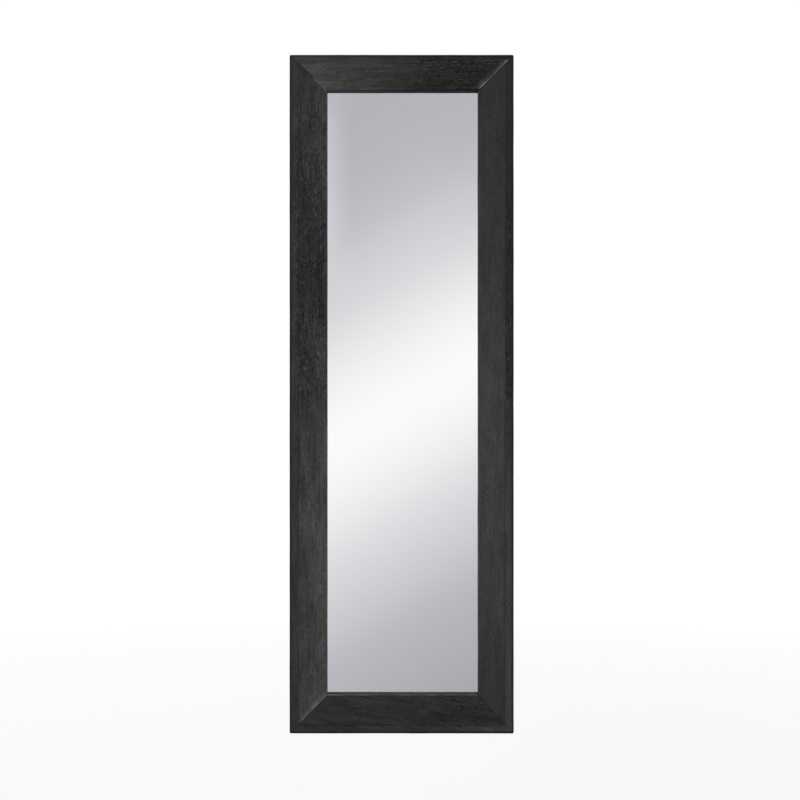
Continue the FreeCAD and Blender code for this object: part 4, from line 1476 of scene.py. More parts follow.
@dataclass
class WoodFrame:
    """Four mitred members. Their faces are planed by hand, so no edge is quite straight."""

    chamfer_width: float = 15 * MM
    chamfer_drop: float = 3 * MM
    outer_radius: float = 2 * MM
    sight_radius: float = 1.5 * MM
    lip_depth: float = 12.5 * MM
    ledge_depth: float = 17.5 * MM
    glass_rabbet: float = 8 * MM
    board_ledge: float = 9 * MM
    strip_length: float = 5 * MM
    unevenness: float = 0.5 * MM
    sight_allowance: float = 0.4 * MM
    bottom_allowance: float = 1.4 * MM
    corner_radius: float = 4 * MM
    corner_cuts: int = 4
    chamfer_bevel: float = 1.2 * MM
    wave_size: float = 60 * MM
    arris: float = 0.3 * MM

    def board(self, member: Member) -> Board:
        """Finds where a member lies from its node and its neighbours' nodes.

        Args:
            member: The member.

        Returns:
            Where its board lies.
        """
        low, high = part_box(member.value)
        stile = member in (Member.LEFT, Member.RIGHT)
        start, end = (Member.BOTTOM, Member.TOP) if stile else (Member.LEFT, Member.RIGHT)
        side = 0 if stile else 2
        widths = [size_of(other.value)[2 - side] for other in (start, end)]
        origin = low.copy()
        across = X_AXIS if stile else Z_AXIS
        if member in (Member.RIGHT, Member.TOP):
            origin[side] = high[side]
            across = -across
        size = size_of(member.value)
        sight = size[side] + (self.bottom_allowance if member is Member.BOTTOM else self.sight_allowance)
        return Board(origin, across, Z_AXIS if stile else X_AXIS, size[side], size[2 - side], *widths, sight)

    def build(self) -> None:
        """Models and dresses all four members."""
        for member, look in BOARD_LOOKS.items():
            board = self.board(member)
            finish = StainedWood(f"black_stained_{member.name.lower()}_board", "stained_wood", board, **look)
            self.shape(member, board).done(finish, "mirror", member.value)

    def shape(self, member: Member, board: Board) -> Shaper:
        """Draws the section, pulls it along, cuts the mitres and makes the faces uneven.

        Args:
            member: The member.
            board: Where it lies.

        Returns:
            The shaper of the member.
        """
        width, thickness = board.width, size_of(member.value).y
        rabbet = width - self.glass_rabbet
        ledge = rabbet - self.board_ledge
        section = [
            (0, self.chamfer_drop), (self.chamfer_width, 0), (board.sight, 0), (board.sight, self.lip_depth),
            (rabbet, self.lip_depth), (rabbet, self.ledge_depth), (ledge, self.ledge_depth),
            (ledge, thickness), (0, thickness),
        ]
        line = [board.at(across, depth, 0) for across, depth in section]
        wood = Shaper.path(f"{member.value}_wood", line, closed=True)
        wood.extrude(Element.FACE, every, board.along * board.length)
        wood.edit(Element.FACE, every, bpy.ops.mesh.normals_make_consistent, inside=False)

        def long_edge(*places: Span) -> Test:
            """Tests for a long edge at one of the places in the section."""

            def test(edge: Any) -> bool:
                """Compares both ends with the places."""
                ends = [board.local(vertex.co)[:2] for vertex in edge.verts]
                return any(all(math.dist(end, place) < NEAR for end in ends) for place in places)

            return test

        wood.bevel(long_edge((board.sight, 0)), self.sight_radius, 4)
        wood.bevel(long_edge((0, self.chamfer_drop), (0, thickness)), self.outer_radius, 5)
        wood.bevel(long_edge((self.chamfer_width, 0)), self.chamfer_bevel, 3)
        for corner, neighbour, way in ((0, board.start, 1), (board.length, board.end, -1)):
            outwards = board.across * neighbour - board.along * (way * width)
            wood.edit(
                Element.FACE, every, bpy.ops.mesh.bisect, plane_co=board.at(0, 0, corner), plane_no=outwards,
                use_fill=True, clear_outer=True,
            )
            self.round_corner(wood, board, board.at(0, 0, corner), board.along * way)
        strips = int(board.length / self.strip_length)
        wood.edit(Element.EDGE, runs_along(board.along), bpy.ops.mesh.subdivide, number_cuts=strips)
        clouds = bpy.data.textures.new(f"{member.value}_unevenness", "CLOUDS")
        clouds.noise_scale = self.wave_size
        clouds.noise_depth = 1
        wood.modify(
            "DISPLACE", texture=clouds, strength=self.unevenness, mid_level=1.0, texture_coords="LOCAL"
        )
        return wood.soften(self.arris, angle=50).close()

    def round_corner(self, wood: Shaper, board: Board, corner: Vector, inwards: Vector) -> None:
        """Sands the sharp corner of the frame round, a facet at a time.

        Args:
            wood: The member.
            board: Where it lies.
            corner: The sharp corner.
            inwards: The way from the corner along the board.
        """
        centre = corner + (board.across + inwards) * self.corner_radius
        for i in range(self.corner_cuts):
            turn = math.radians(90) * (i + 0.5) / self.corner_cuts
            outwards = -board.across * math.cos(turn) - inwards * math.sin(turn)
            wood.edit(
                Element.FACE, every, bpy.ops.mesh.bisect, plane_co=centre + outwards * self.corner_radius,
                plane_no=outwards, use_fill=True, clear_outer=True,
            )


# The glass and what backs it


@dataclass
class Glazing:
    """The mirror in its rabbet, and the board that closes the back with its screws."""

    glass_arris: float = 0.5 * MM
    board_arris: float = 0.4 * MM
    screw_inset: float = 4 * MM
    screws_up: int = 5
    screws_across: int = 2
    end_gap: float = 60 * MM

    def build(self) -> None:
        """Models the glass, board and screws, and dresses the hidden pieces as they are."""
        glass = Shaper.box("mirror_plate", *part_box("mirror_glass")).soften(self.glass_arris)
        glass.done(SILVER, "mirror", "mirror_glass", angle=20)
        back = Shaper.box("back_panel", *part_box("backing_board")).soften(self.board_arris)
        back.done(BOARD_BROWN, "mirror", "backing_board")
        self.screws()
        for name, finish in (("foam_sheet", WHITE_FOAM), ("setting_blocks", RUBBER), ("mitre_tongues", PLY)):
            finish.put_on(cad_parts[name])

    def screws(self) -> None:
        """Pan-head screws all round the board, into the ledge of the frame."""
        low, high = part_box("backing_board")
        seats = []
        for x in (low.x + self.screw_inset, high.x - self.screw_inset):
            for i in range(self.screws_up):
                z = low.z + self.end_gap + i * (high.z - low.z - 2 * self.end_gap) / (self.screws_up - 1)
                seats.append(Vector((x, high.y, z)))
        for z in (low.z + self.screw_inset, high.z - self.screw_inset):
            for i in range(self.screws_across):
                x = low.x + (i + 0.5) * (high.x - low.x) / self.screws_across
                seats.append(Vector((x, high.y, z)))
        pan = Screw(head_radius=2.9 * MM, recess_depth=1.4 * MM, countersunk=False)
        pan.set_in("board_screws", seats, Heading.BACK, "mirror")


# Telescopic slides


@dataclass
class BallSlide:
    """A telescopic slide: three rolled channels, two rows of balls on each side, and a buffer."""

    level: str
    sheet: float = 1.05 * MM
    cad_sheet: float = 1.5 * MM
    bend: float = 1.3 * MM
    groove: float = 0.45 * MM
    ball_radius: float = 1.6 * MM
    play: float = 0.05 * MM
    balls: int = 8
    strip: float = 0.8 * MM
    hole_radius: float = 2.25 * MM
    hole_spacing: float = 288 * MM
    slot_inset: float = 32 * MM
    slot_length: float = 12 * MM
    slot_radius: float = 2.3 * MM
    access_radius: float = 5 * MM
    half_travel: float = 175 * MM
    stop_length: float = 6 * MM
    stop_width: float = 5 * MM
    stop_offset: float = 11 * MM
    stop_height: float = 1.6 * MM
    running_gap: float = 0.3 * MM
    tongue_width: float = 16 * MM
    drawer_flange: float = 6.7 * MM
    flange_step: float = 0.4 * MM
    cutter_start: float = 20 * MM
    cutter_end: float = 5 * MM
    pressed_edge: float = 0.35 * MM
    tongue_edge: float = 0.4 * MM
    buffer_edge: float = 0.6 * MM
    buffer_groove: float = 0.8 * MM
    window_play: float = 0.1 * MM
    window_depth: float = 3 * MM
    slot_rounding: float = 0.999
    strip_edge: float = 0.12 * MM
    ball_cuts: int = 5

    def __post_init__(self) -> None:
        """Finds the centre line and the rows of balls from the nodes."""
        self.centre = centre_of(self.node("cabinet_member")).z
        seat = self.ball_radius + self.play - self.groove
        self.outer_height, self.inner_height = (
            size_of(self.node(f"{piece}_member")).z / 2 - self.cad_sheet - seat
            for piece in ("cabinet", "middle")
        )
        self.outer_row, self.inner_row = (
            centre_of(self.node(f"{row}_retainers")).y for row in ("outer", "inner")
        )

    def node(self, piece: str) -> str:
        """The node of a piece of this slide."""
        return f"{self.level}_{piece}"

    def build(self) -> None:
        """Models and dresses every piece of the slide."""
        self.cabinet()
        self.middle()
        self.drawer()
        self.buffer()
        for row, y, height in (
            ("outer", self.outer_row, self.outer_height), ("inner", self.inner_row, self.inner_height)
        ):
            self.retainers(row)
            self.row_of_balls(row, y, height)

    def channel(
        self, piece: str, web: float, flange_end: float, plain: float,
        rolls: Sequence[tuple[float, float, float]],
    ) -> Shaper:
        """Draws the middle of a channel's sheet, pulls it along the slide and gives it its thickness.

        Args:
            piece: The member's name within the slide.
            web: The Y of the outside of the web.
            flange_end: The Y of the flanges' ends.
            plain: The height of the middle of a flange where it is flat.
            rolls: Each ball groove's Y, its depth outwards and its half width.

        Returns:
            The shaper of the channel.
        """
        low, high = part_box(self.node(piece))
        towards = 1 if flange_end > web else -1
        web_middle = web + towards * self.sheet / 2
        bend_start = web_middle + towards * self.bend
        steps = round(abs(flange_end - bend_start) / self.flange_step)
        flange = []
        for i in range(steps + 1):
            y = flange_end + (bend_start - flange_end) * i / steps
            height = plain
            for row, depth, reach in rolls:
                if abs(y - row) < reach:
                    height += depth * (1 + math.cos(math.pi * (y - row) / reach)) / 2
            flange.append((y, height))
        corner = Vector((0, bend_start, plain - self.bend))
        turn = arc(corner, Z_AXIS * self.bend, Y_AXIS * (-towards * self.bend), 5)[1:]
        half = flange + [(point.y, point.z) for point in turn]
        points = [Vector((low.x, y, self.centre + z)) for y, z in half]
        points += [Vector((low.x, y, self.centre - z)) for y, z in reversed(half)]
        sheet = Shaper.path(f"{self.node(piece)}_rolled", points)
        sheet.extrude(Element.EDGE, every, X_AXIS * (high.x - low.x))
        sheet.modify("SOLIDIFY", thickness=self.sheet, offset=0, use_even_offset=True)
        return sheet.close()

    def slot(self, x: float) -> Shaper:
        """A cutter for an oblong hole in a web.

        Args:
            x: The X of its middle.

        Returns:
            The cutter.
        """
        reach, radius = self.slot_length / 2, self.slot_radius
        low = Vector((x - reach, -self.cutter_start, self.centre - radius))
        cutter = Shaper.box("slot", low, Vector((x + reach, self.cutter_end, self.centre + radius)))
        return cutter.bevel(runs_along(Y_AXIS), radius * self.slot_rounding, 8)

    def hole(self, x: float, radius: float) -> Shaper:
        """A cutter for a round hole in a web."""
        start, end = (Vector((x, y, self.centre)) for y in (-self.cutter_start, self.cutter_end))
        return Shaper.rod("hole", start, end, radius)

    def tab(self, x: float, y: float, height: float, offset: float) -> Shaper:
        """A stop that is pressed up from a web: a short block with soft edges.

        Args:
            x: The X of its rear end.
            y: The Y of the web's face.
            height: How far it stands up along Y.
            offset: How far its middle is above the slide's centre line.

        Returns:
            The shaper of the stop.
        """
        half = self.stop_width / 2
        ends = sorted((y, y + height))
        low = Vector((x, ends[0], self.centre + offset - half))
        block = Shaper.box("tab", low, Vector((x + self.stop_length, ends[1], self.centre + offset + half)))
        return block.soften(self.pressed_edge)

    def cabinet(self) -> None:
        """The member that is screwed to the panel."""
        low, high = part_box(self.node("cabinet_member"))
        plain = (high.z - low.z) / 2 - self.groove - self.sheet / 2
        rolls = [(self.outer_row, self.groove, self.ball_radius)]
        member = self.channel("cabinet_member", high.y, low.y, plain, rolls)
        for side in (-1, 1):
            member.cut(self.hole(side * self.hole_spacing / 2, self.hole_radius))
            member.cut(self.slot(side * (self.hole_spacing / 2 - self.slot_inset)))
        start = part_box(self.node("middle_member"))[0].x
        stop = start + self.half_travel + 2 * self.stop_length + self.running_gap
        member.join(self.tab(stop, high.y - self.sheet, -self.stop_height, self.stop_offset))
        member.done(ZINC, "panel_rails", self.node("cabinet_member"))

    def middle(self) -> None:
        """The member that runs between the other two."""
        low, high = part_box(self.node("middle_member"))
        half = (high.z - low.z) / 2
        plain = half - self.groove / 2 - self.sheet / 2
        reach = (self.outer_row - self.inner_row) / 2
        rolls = [(self.outer_row, -self.groove / 2, reach), (self.inner_row, self.groove / 2, reach)]
        web = high.y - self.stop_height
        member = self.channel("middle_member", web, low.y, plain, rolls)
        member.cut(self.hole(self.hole_spacing / 2 - self.half_travel, self.access_radius))
        member.join(self.tab(low.x + self.stop_length, web, self.stop_height, self.stop_offset))
        front = low.x + self.cad_sheet + self.half_travel + self.running_gap
        member.join(self.tab(front, web - self.sheet, -self.stop_height, 0))
        member.done(ZINC, "middle_rails", self.node("middle_member"))

    def drawer(self) -> None:
        """The member that carries the tubes, with its end tongue."""
        low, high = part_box(self.node("drawer_member"))
        plain = (high.z - low.z) / 2 - self.sheet / 2
        rolls = [(self.inner_row, -self.groove, self.ball_radius)]
        member = self.channel("drawer_member", low.y, low.y + self.drawer_flange, plain, rolls)
        for x in sorted({x for x, _ in Carrier().crossings()}):
            member.cut(self.slot(x))
        half = self.tongue_width / 2
        corner = Vector((low.x, low.y + self.sheet / 2, self.centre - half))
        tongue = Shaper.box("tongue", corner, Vector((low.x + self.cad_sheet, high.y, self.centre + half)))
        member.join(tongue.soften(self.tongue_edge)).done(ZINC, "carrier", self.node("drawer_member"))

    def buffer(self) -> None:
        """The rubber block that the members close against, with soft edges and a groove across it."""
        low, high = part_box(self.node("closing_buffer"))
        block = Shaper.box(f"{self.level}_rubber_buffer", low, high)
        reach, level = self.buffer_groove, (low.z + high.z) / 2
        start = Vector((high.x - reach, low.y - MM, level - reach))
        end = Vector((high.x + MM, high.y + MM, level + reach))
        block.cut(Shaper.box("groove", start, end)).soften(self.buffer_edge)
        block.done(BUFFER_RUBBER, "panel_rails", self.node("closing_buffer"))

    def retainers(self, row: str) -> None:
        """A strip above and a strip below the centre line, with a round window for each ball.

        Args:
            row: The row of balls that they hold, outer or inner.
        """
        name = self.node(f"{row}_retainers")
        low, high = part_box(name)
        top = high.z - self.strip
        strip = Shaper.box("strip", Vector((low.x, low.y, top)), high)
        pitch = (high.x - low.x) / self.balls
        y = (low.y + high.y) / 2
        for i in range(self.balls):
            x = low.x + (i + 0.5) * pitch
            start = Vector((x, y, top - MM))
            end = start + Z_AXIS * self.window_depth
            strip.cut(Shaper.rod("window", start, end, self.ball_radius + self.window_play, sides=20))
        strip.soften(self.strip_edge, segments=1)
        fall = low.z + self.strip - high.z
        strips = strip.copies(f"{self.level}_{row}_ball_strips", [shift(), shift(z=fall)])
        strips.done(STRIP_STEEL, f"{row}_bearings", name)

    def row_of_balls(self, row: str, y: float, height: float) -> None:
        """Steel balls in the windows of both strips.

        Args:
            row: The row, outer or inner.
            y: The Y of its balls.
            height: How far they are from the slide's centre line.
        """
        low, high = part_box(self.node(f"{row}_retainers"))
        pitch = (high.x - low.x) / self.balls
        corner = Vector([self.ball_radius] * 3)
        ball = Shaper.box("ball", -corner, corner)
        ball.edit(Element.EDGE, every, bpy.ops.mesh.subdivide, number_cuts=self.ball_cuts)
        ball.modify("CAST", cast_type="SPHERE", factor=1, size=self.ball_radius, use_radius_as_size=False)
        places = [
            shift(low.x + (i + 0.5) * pitch, y, self.centre + side * height)
            for side in (-1, 1) for i in range(self.balls)
        ]
        balls = ball.copies(f"{self.level}_{row}_steel_balls", places)
        balls.done(BALL_STEEL, f"{row}_bearings", self.node(f"{row}_balls"), angle=80)


# The carrier


@dataclass
class Carrier:
    """Two capped tubes, the bolts that hold them to the slides, and the bumpers.

    The turns of the bolts and of the nuts are the turn of all of them and what X and Z add to it. A bumper's
    foot is drawn by shares of its radius with their heights.
    """

    wall: float = 1.5 * MM
    corner: float = 2 * MM
    cap_head: float = 2 * MM
    cap_rim: float = 0.5 * MM
    bolt_radius: float = 2 * MM
    bolt_head: float = 2.8 * MM
    nut_height: float = 3.2 * MM
    bolt_length: float = 20 * MM
    thread_length: float = 7 * MM
    thread_end: float = 0.9 * MM
    thread_overlap: float = 0.5 * MM
    shank_overlap: float = 0.2 * MM
    bolt_turns: tuple[float, float, float] = (0.3, 9, 1)
    nut_turns: tuple[float, float, float] = (0.8, 5, 0)
    drill_depth: float = 20 * MM
    bore_depth: float = 6 * MM
    drill_play: float = 0.1 * MM
    thread_play: float = 0.02 * MM
    plug_length: float = 10 * MM
    plug_play: float = 0.1 * MM
    tube_edge: float = 0.2 * MM
    cap_edge: float = 0.25 * MM
    bumper_radius: float = 5.5 * MM
    dome_share: float = 0.86
    dome_rise: float = 0.5
    foot: tuple[Span, ...] = ((0.9, 0.9 * MM), (1, 0.6 * MM), (1, 0), (0, 0))
    bumper_spacing: float = 100 * MM

    def build(self) -> None:
        """Models and dresses the tubes, caps, bolts, nuts and bumpers."""
        for name in ("leading_tube", "trailing_tube"):
            self.tube(name)
            self.cap(name, "top", 1)
            self.cap(name, "bottom", -1)
        self.bolts()
        self.nuts()
        self.bumpers()

    def crossings(self) -> list[tuple[float, float]]:
        """The X and Z of every bolt, in the middle of where a tube lies on a slide."""
        start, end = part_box("lower_drawer_member")
        columns = [(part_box("leading_tube")[0].x + end.x) / 2, (start.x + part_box("trailing_tube")[1].x) / 2]
        levels = [centre_of(f"{level}_drawer_member").z for level in ("lower", "upper")]
        return [(x, z) for x in columns for z in levels]

    def tube(self, name: str) -> None:
        """A rectangular steel tube with rolled corners and drilled for its bolts.

        Args:
            name: The node of the tube.
        """
        low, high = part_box(name)
        tube = Shaper.box(f"{name}_section", low, high)
        tube.edit(Element.FACE, lambda face: abs(face.normal.z) > 0.9, bpy.ops.mesh.delete, type="ONLY_FACE")
        tube.bevel(runs_along(Z_AXIS), self.corner, 6)
        tube.modify("SOLIDIFY", thickness=self.wall, offset=-1, use_even_offset=True)
        for x, z in self.crossings():
            if low.x < x < high.x:
                start, radius = Vector((x, low.y - MM, z)), self.bolt_radius + self.drill_play
                tube.cut(Shaper.rod("drill", start, start + Y_AXIS * self.drill_depth, radius))
        tube.soften(self.tube_edge, angle=60).done(POWDER, "carrier", name)

    def cap(self, tube: str, end: str, way: int) -> None:
        """A plastic cap with a crowned head and a plug in the tube.

        Args:
            tube: The node of the tube.
            end: The tube's end, top or bottom.
            way: 1 for the top and -1 for the bottom.
        """
        name = f"{tube}_{end}_cap"
        low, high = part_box(name)
        top = (high if way > 0 else low).z
        seat = top - way * self.cap_head
        low.z, high.z = sorted((seat, top))
        cap = Shaper.box(f"{name}_moulding", low, high)
        cap.bevel(runs_along(Z_AXIS), self.corner, 6)
        cap.bevel(rim_of(Z_AXIS, top), self.cap_rim * 2, 4)
        inside = faces_towards(Z_AXIS * -way)
        cap.edit(Element.FACE, inside, bpy.ops.mesh.inset, thickness=self.wall + self.plug_play, depth=0)

        def socket_face(face: Any) -> bool:
            """Tests for the face inside the rim of the seat."""
            return inside(face) and abs(middle(face).x - (low.x + high.x) / 2) < MM and len(face.verts) > 4

        cap.extrude(Element.FACE, socket_face, Z_AXIS * (-way * self.plug_length))
        cap.soften(self.cap_edge, angle=50).close().done(CAP_PLASTIC, "carrier", name)

    def bolts(self) -> None:
        """Hexagon bolts from the front of the tubes into the slides."""
        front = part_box("leading_tube")[0].y
        hexagon = Hexagon()
        head = hexagon.blank("head", 0, -self.bolt_head, both_ends=False)
        plain_end = self.bolt_length - self.thread_length
        shank = Shaper.rod("shank", -Y_AXIS * self.shank_overlap, Y_AXIS * plain_end, self.bolt_radius)
        start, end = plain_end - self.thread_overlap, self.bolt_length - self.thread_end
        thread = hexagon.thread("thread", start, end, self.bolt_radius)
        bolt = head.join(shank, thread)
        places = self.tightened(front, self.bolt_turns)
        bolt.copies("hexagon_bolts", places).done(ZINC_SCREW, "carrier", "carrier_bolts")

    def nuts(self) -> None:
        """Hexagon nuts inside the drawer members."""
        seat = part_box("carrier_nuts")[0].y
        nut = Hexagon().blank("nut", self.nut_height, 0, both_ends=True)
        start, radius = -Y_AXIS * MM, self.bolt_radius + self.thread_play
        nut.cut(Shaper.rod("bore", start, start + Y_AXIS * self.bore_depth, radius))
        places = self.tightened(seat, self.nut_turns)
        nut.copies("hexagon_nuts", places).done(ZINC_SCREW, "carrier", "carrier_nuts")

    def tightened(self, y: float, turns: tuple[float, float, float]) -> list[Matrix]:
        """A place at every bolt, each turned as it was left when it was tightened.

        Args:
            y: The Y of the seat.
            turns: The turn of all of them, and what X and Z add to it.

        Returns:
            The places.
        """
        start, by_x, by_z = turns
        return [
            shift(x, y, z) @ Matrix.Rotation(start + x * by_x + z * by_z, 4, "Y")
            for x, z in self.crossings()
        ]

    def bumpers(self) -> None:
        """Domed rubber bumpers on the trailing tube, each on a thin foot."""
        low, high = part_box("mirror_bumpers")
        radius = self.bumper_radius
        rise = radius * self.dome_rise
        rubber = dome(radius * self.dome_share, high.y - low.y - rise, rise, 8)
        rubber += [(radius * share, height) for share, height in self.foot]
        bumper = Shaper.turned("bumper", rubber, -Y_AXIS, steps=32)
        outer = high.z - radius * math.cos(math.pi / 8)
        levels = (outer, self.bumper_spacing, -self.bumper_spacing, -outer)
        places = [shift((low.x + high.x) / 2, high.y, z) for z in levels]
        bumper.copies("rubber_bumpers", places).done(RUBBER, "carrier", "mirror_bumpers")


# Catches


@dataclass
class Catch:
    """A magnetic catch on the trailing tube and its strike plate on the mirror."""

    level: str
    corner: float = 3.5 * MM
    pole: float = 1.5 * MM
    pole_proud: float = 0.4 * MM
    slack: float = 0.15 * MM
    screw_offset: float = 16.5 * MM
    strike_screw_offset: float = 10.5 * MM
    moulded_edge: float = 0.8 * MM
    block_edge: float = 0.25 * MM
    pole_edge: float = 0.2 * MM
    strike_edge: float = 0.3 * MM
    countersink: Countersink = Countersink(4.4 * MM, 3.25 * MM, 1.6 * MM, 1.65 * MM)

    def build(self) -> None:
        """Models and dresses the housing, magnet, strike plate and their screws."""
        self.housing()
        self.magnet()
        self.strike()

    def seats(self, node: str, face: float, offset: float) -> list[Vector]:
        """The seats of a plate's two screws, above and below its middle."""
        centre = centre_of(node)
        return [Vector((centre.x, face, centre.z + side * offset)) for side in (-1, 1)]

    def housing(self) -> None:
        """A moulded housing with round ends, a window for the magnet and two screws."""
        node = f"{self.level}_catch_housing"
        low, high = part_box(node)
        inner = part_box(f"{self.level}_catch_magnet")
        housing = Shaper.box(f"{self.level}_catch_moulding", low, high)
        housing.bevel(runs_along(Y_AXIS), self.corner, 6)
        housing.bevel(rim_of(Y_AXIS, low.y), self.moulded_edge, 3)
        grow = Vector((self.slack, MM, self.slack))
        housing.cut(Shaper.box("window", inner[0] - grow, inner[1] + grow))
        seats = self.seats(node, low.y, self.screw_offset)
        self.countersink.cut(housing, seats, -1)
        housing.done(CATCH_PLASTIC, "carrier", node)
        Screw(length=8 * MM).set_in(f"{self.level}_catch_screws", seats, Heading.FRONT, "carrier")

    def magnet(self) -> None:
        """A ferrite block between two steel pole plates that stand proud of it."""
        node = f"{self.level}_catch_magnet"
        low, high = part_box(node)
        start = low + Vector((self.pole, self.pole_proud, 0))
        core = Shaper.box(f"{self.level}_ferrite_block", start, high - X_AXIS * self.pole)
        core.soften(self.block_edge).done(FERRITE, "carrier", node)
        plate = Shaper.box("pole", low, Vector((low.x + self.pole, high.y, high.z))).soften(self.pole_edge)
        far = high.x - low.x - self.pole
        plates = plate.copies(f"{self.level}_pole_plates", [shift(), shift(x=far)])
        plates.done(POLE_STEEL, "carrier", node)

    def strike(self) -> None:
        """A steel plate on the back of the stile, with two screws."""
        node = f"{self.level}_strike_plate"
        low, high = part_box(node)
        plate = Shaper.box(f"{self.level}_strike", low, high)
        plate.bevel(runs_along(Y_AXIS), self.corner, 6)
        plate.bevel(rim_of(Y_AXIS, high.y), self.strike_edge, 2)
        seats = self.seats(node, high.y, self.strike_screw_offset)
        self.countersink.cut(plate, seats, 1)
        plate.done(STRIKE, "mirror", node)
        Screw().set_in(f"{self.level}_strike_screws", seats, Heading.BACK, "mirror")


# Hinges


@dataclass
class ButtHinge:
    """A butt hinge: two leaves with rolled knuckles on a pin with button heads."""

    position: str
    pin_radius: float = 2 * MM
    leaf: float = 1.5 * MM
    knuckles: int = 3
    knuckle_gap: float = 0.3 * MM
    knuckle_margin: float = 2 * MM
    leaf_corner: float = 2 * MM
    hole_edge: float = 6.5 * MM
    hole_end: float = 9 * MM
    hole_stagger: float = 7 * MM
    pin_head: float = 3.1 * MM
    pin_head_height: float = 1.2 * MM
    roll_degrees: float = 300
    roll_steps: int = 20
    rolling_play: float = 0.06 * MM
    leaf_edge: float = 0.15 * MM
    screw_inset: float = 0.05 * MM
    tube_screw: float = 9 * MM
    mirror_screw: float = 14 * MM
    countersink: Countersink = Countersink(4.3 * MM, 3.3 * MM, 2.2 * MM, 1.1 * MM)

    def build(self) -> None:
        """Models and dresses both leaves with their screws, and the pin."""
        self.leaf_shape("tube", 1, "carrier", (1,))
        self.leaf_shape("mirror", -1, "mirror", (0, 2))
        self.pin()

    def leaf_shape(self, side: str, way: int, body: str, open_knuckles: Sequence[int]) -> None:
        """Rolls a leaf from one sheet, cuts its knuckles apart and countersinks its holes.

        Args:
            side: The side of the hinge, tube or mirror.
            way: 1 for the leaf behind the pin and -1 for the one in front of it.
            body: The body that the leaf moves with.
            open_knuckles: The knuckles that belong to the other leaf.
        """
        node = f"{self.position}_hinge_{side}_leaf"
        low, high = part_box(node)
        pin = centre_of(f"{self.position}_hinge_pin")
        middle_radius = self.pin_radius + self.leaf / 2
        line = [Vector((low.x, pin.y + way * middle_radius, low.z))]
        for i in range(self.roll_steps + 1):
            angle = math.radians(90 - self.roll_degrees * i / self.roll_steps)
            x, y = middle_radius * math.cos(angle), way * middle_radius * math.sin(angle)
            line.append(Vector((pin.x + x, pin.y + y, low.z)))
        leaf = Shaper.path(f"{self.position}_{side}_leaf_rolled", line)
        leaf.extrude(Element.EDGE, every, Z_AXIS * (high.z - low.z))
        thickness = self.leaf - self.rolling_play
        leaf.modify("SOLIDIFY", thickness=thickness, offset=0, use_even_offset=True).close()

        def outer_corner(edge: Any) -> bool:
            """Tests for the edges through the sheet at its outer end."""
            return runs_along(Y_AXIS)(edge) and middle(edge).x < low.x + MM

        leaf.bevel(outer_corner, self.leaf_corner, 5)
        segment = (high.z - low.z) / self.knuckles
        reach = middle_radius + self.knuckle_margin
        for i in open_knuckles:
            bottom = low.z + i * segment - self.knuckle_gap / 2
            top = low.z + (i + 1) * segment + self.knuckle_gap / 2
            bottom = bottom if i else bottom - MM
            top = top if i < self.knuckles - 1 else top + MM
            box_low = Vector((pin.x - reach, pin.y - reach, bottom))
            leaf.cut(Shaper.box("gap", box_low, Vector((pin.x + reach, pin.y + reach, top))))
        seats = self.seats(low, high, pin.y + way * self.pin_radius)
        self.countersink.cut(leaf, seats, -way)
        leaf.soften(self.leaf_edge, angle=50).done(NICKEL, body, node)
        heading = Heading.FRONT if way > 0 else Heading.BACK
        inset = Y_AXIS * (way * self.screw_inset)
        screw = Screw(length=self.tube_screw if way > 0 else self.mirror_screw)
        screw.set_in(f"{self.position}_{side}_leaf_screws", [seat + inset for seat in seats], heading, body)

    def seats(self, low: Vector, high: Vector, face: float) -> list[Vector]:
        """The three screw holes of a leaf: two near the ends, and one between them nearer the knuckles.

        Args:
            low: The lowest corner of the leaf.
            high: Its highest corner.
            face: The Y of the holes' rims.

        Returns:
            The middle of each hole's rim.
        """
        column = low.x + self.hole_edge
        ends = [Vector((column, face, z)) for z in (low.z + self.hole_end, high.z - self.hole_end)]
        return ends + [Vector((column + self.hole_stagger, face, (low.z + high.z) / 2))]

    def pin(self) -> None:
        """A turned pin with a button head at each end."""
        node = f"{self.position}_hinge_pin"
        seat = size_of(node).z / 2 - self.pin_head_height
        upper = dome(self.pin_head, seat, self.pin_head_height, 6) + [(self.pin_radius, seat)]
        profile = upper + [(radius, -height) for radius, height in reversed(upper)]
        pin = Shaper.turned(f"{self.position}_turned_pin", profile, Z_AXIS, steps=28)
        pin.moved(Matrix.Translation(centre_of(node))).done(NICKEL, "carrier", node)


# The studio


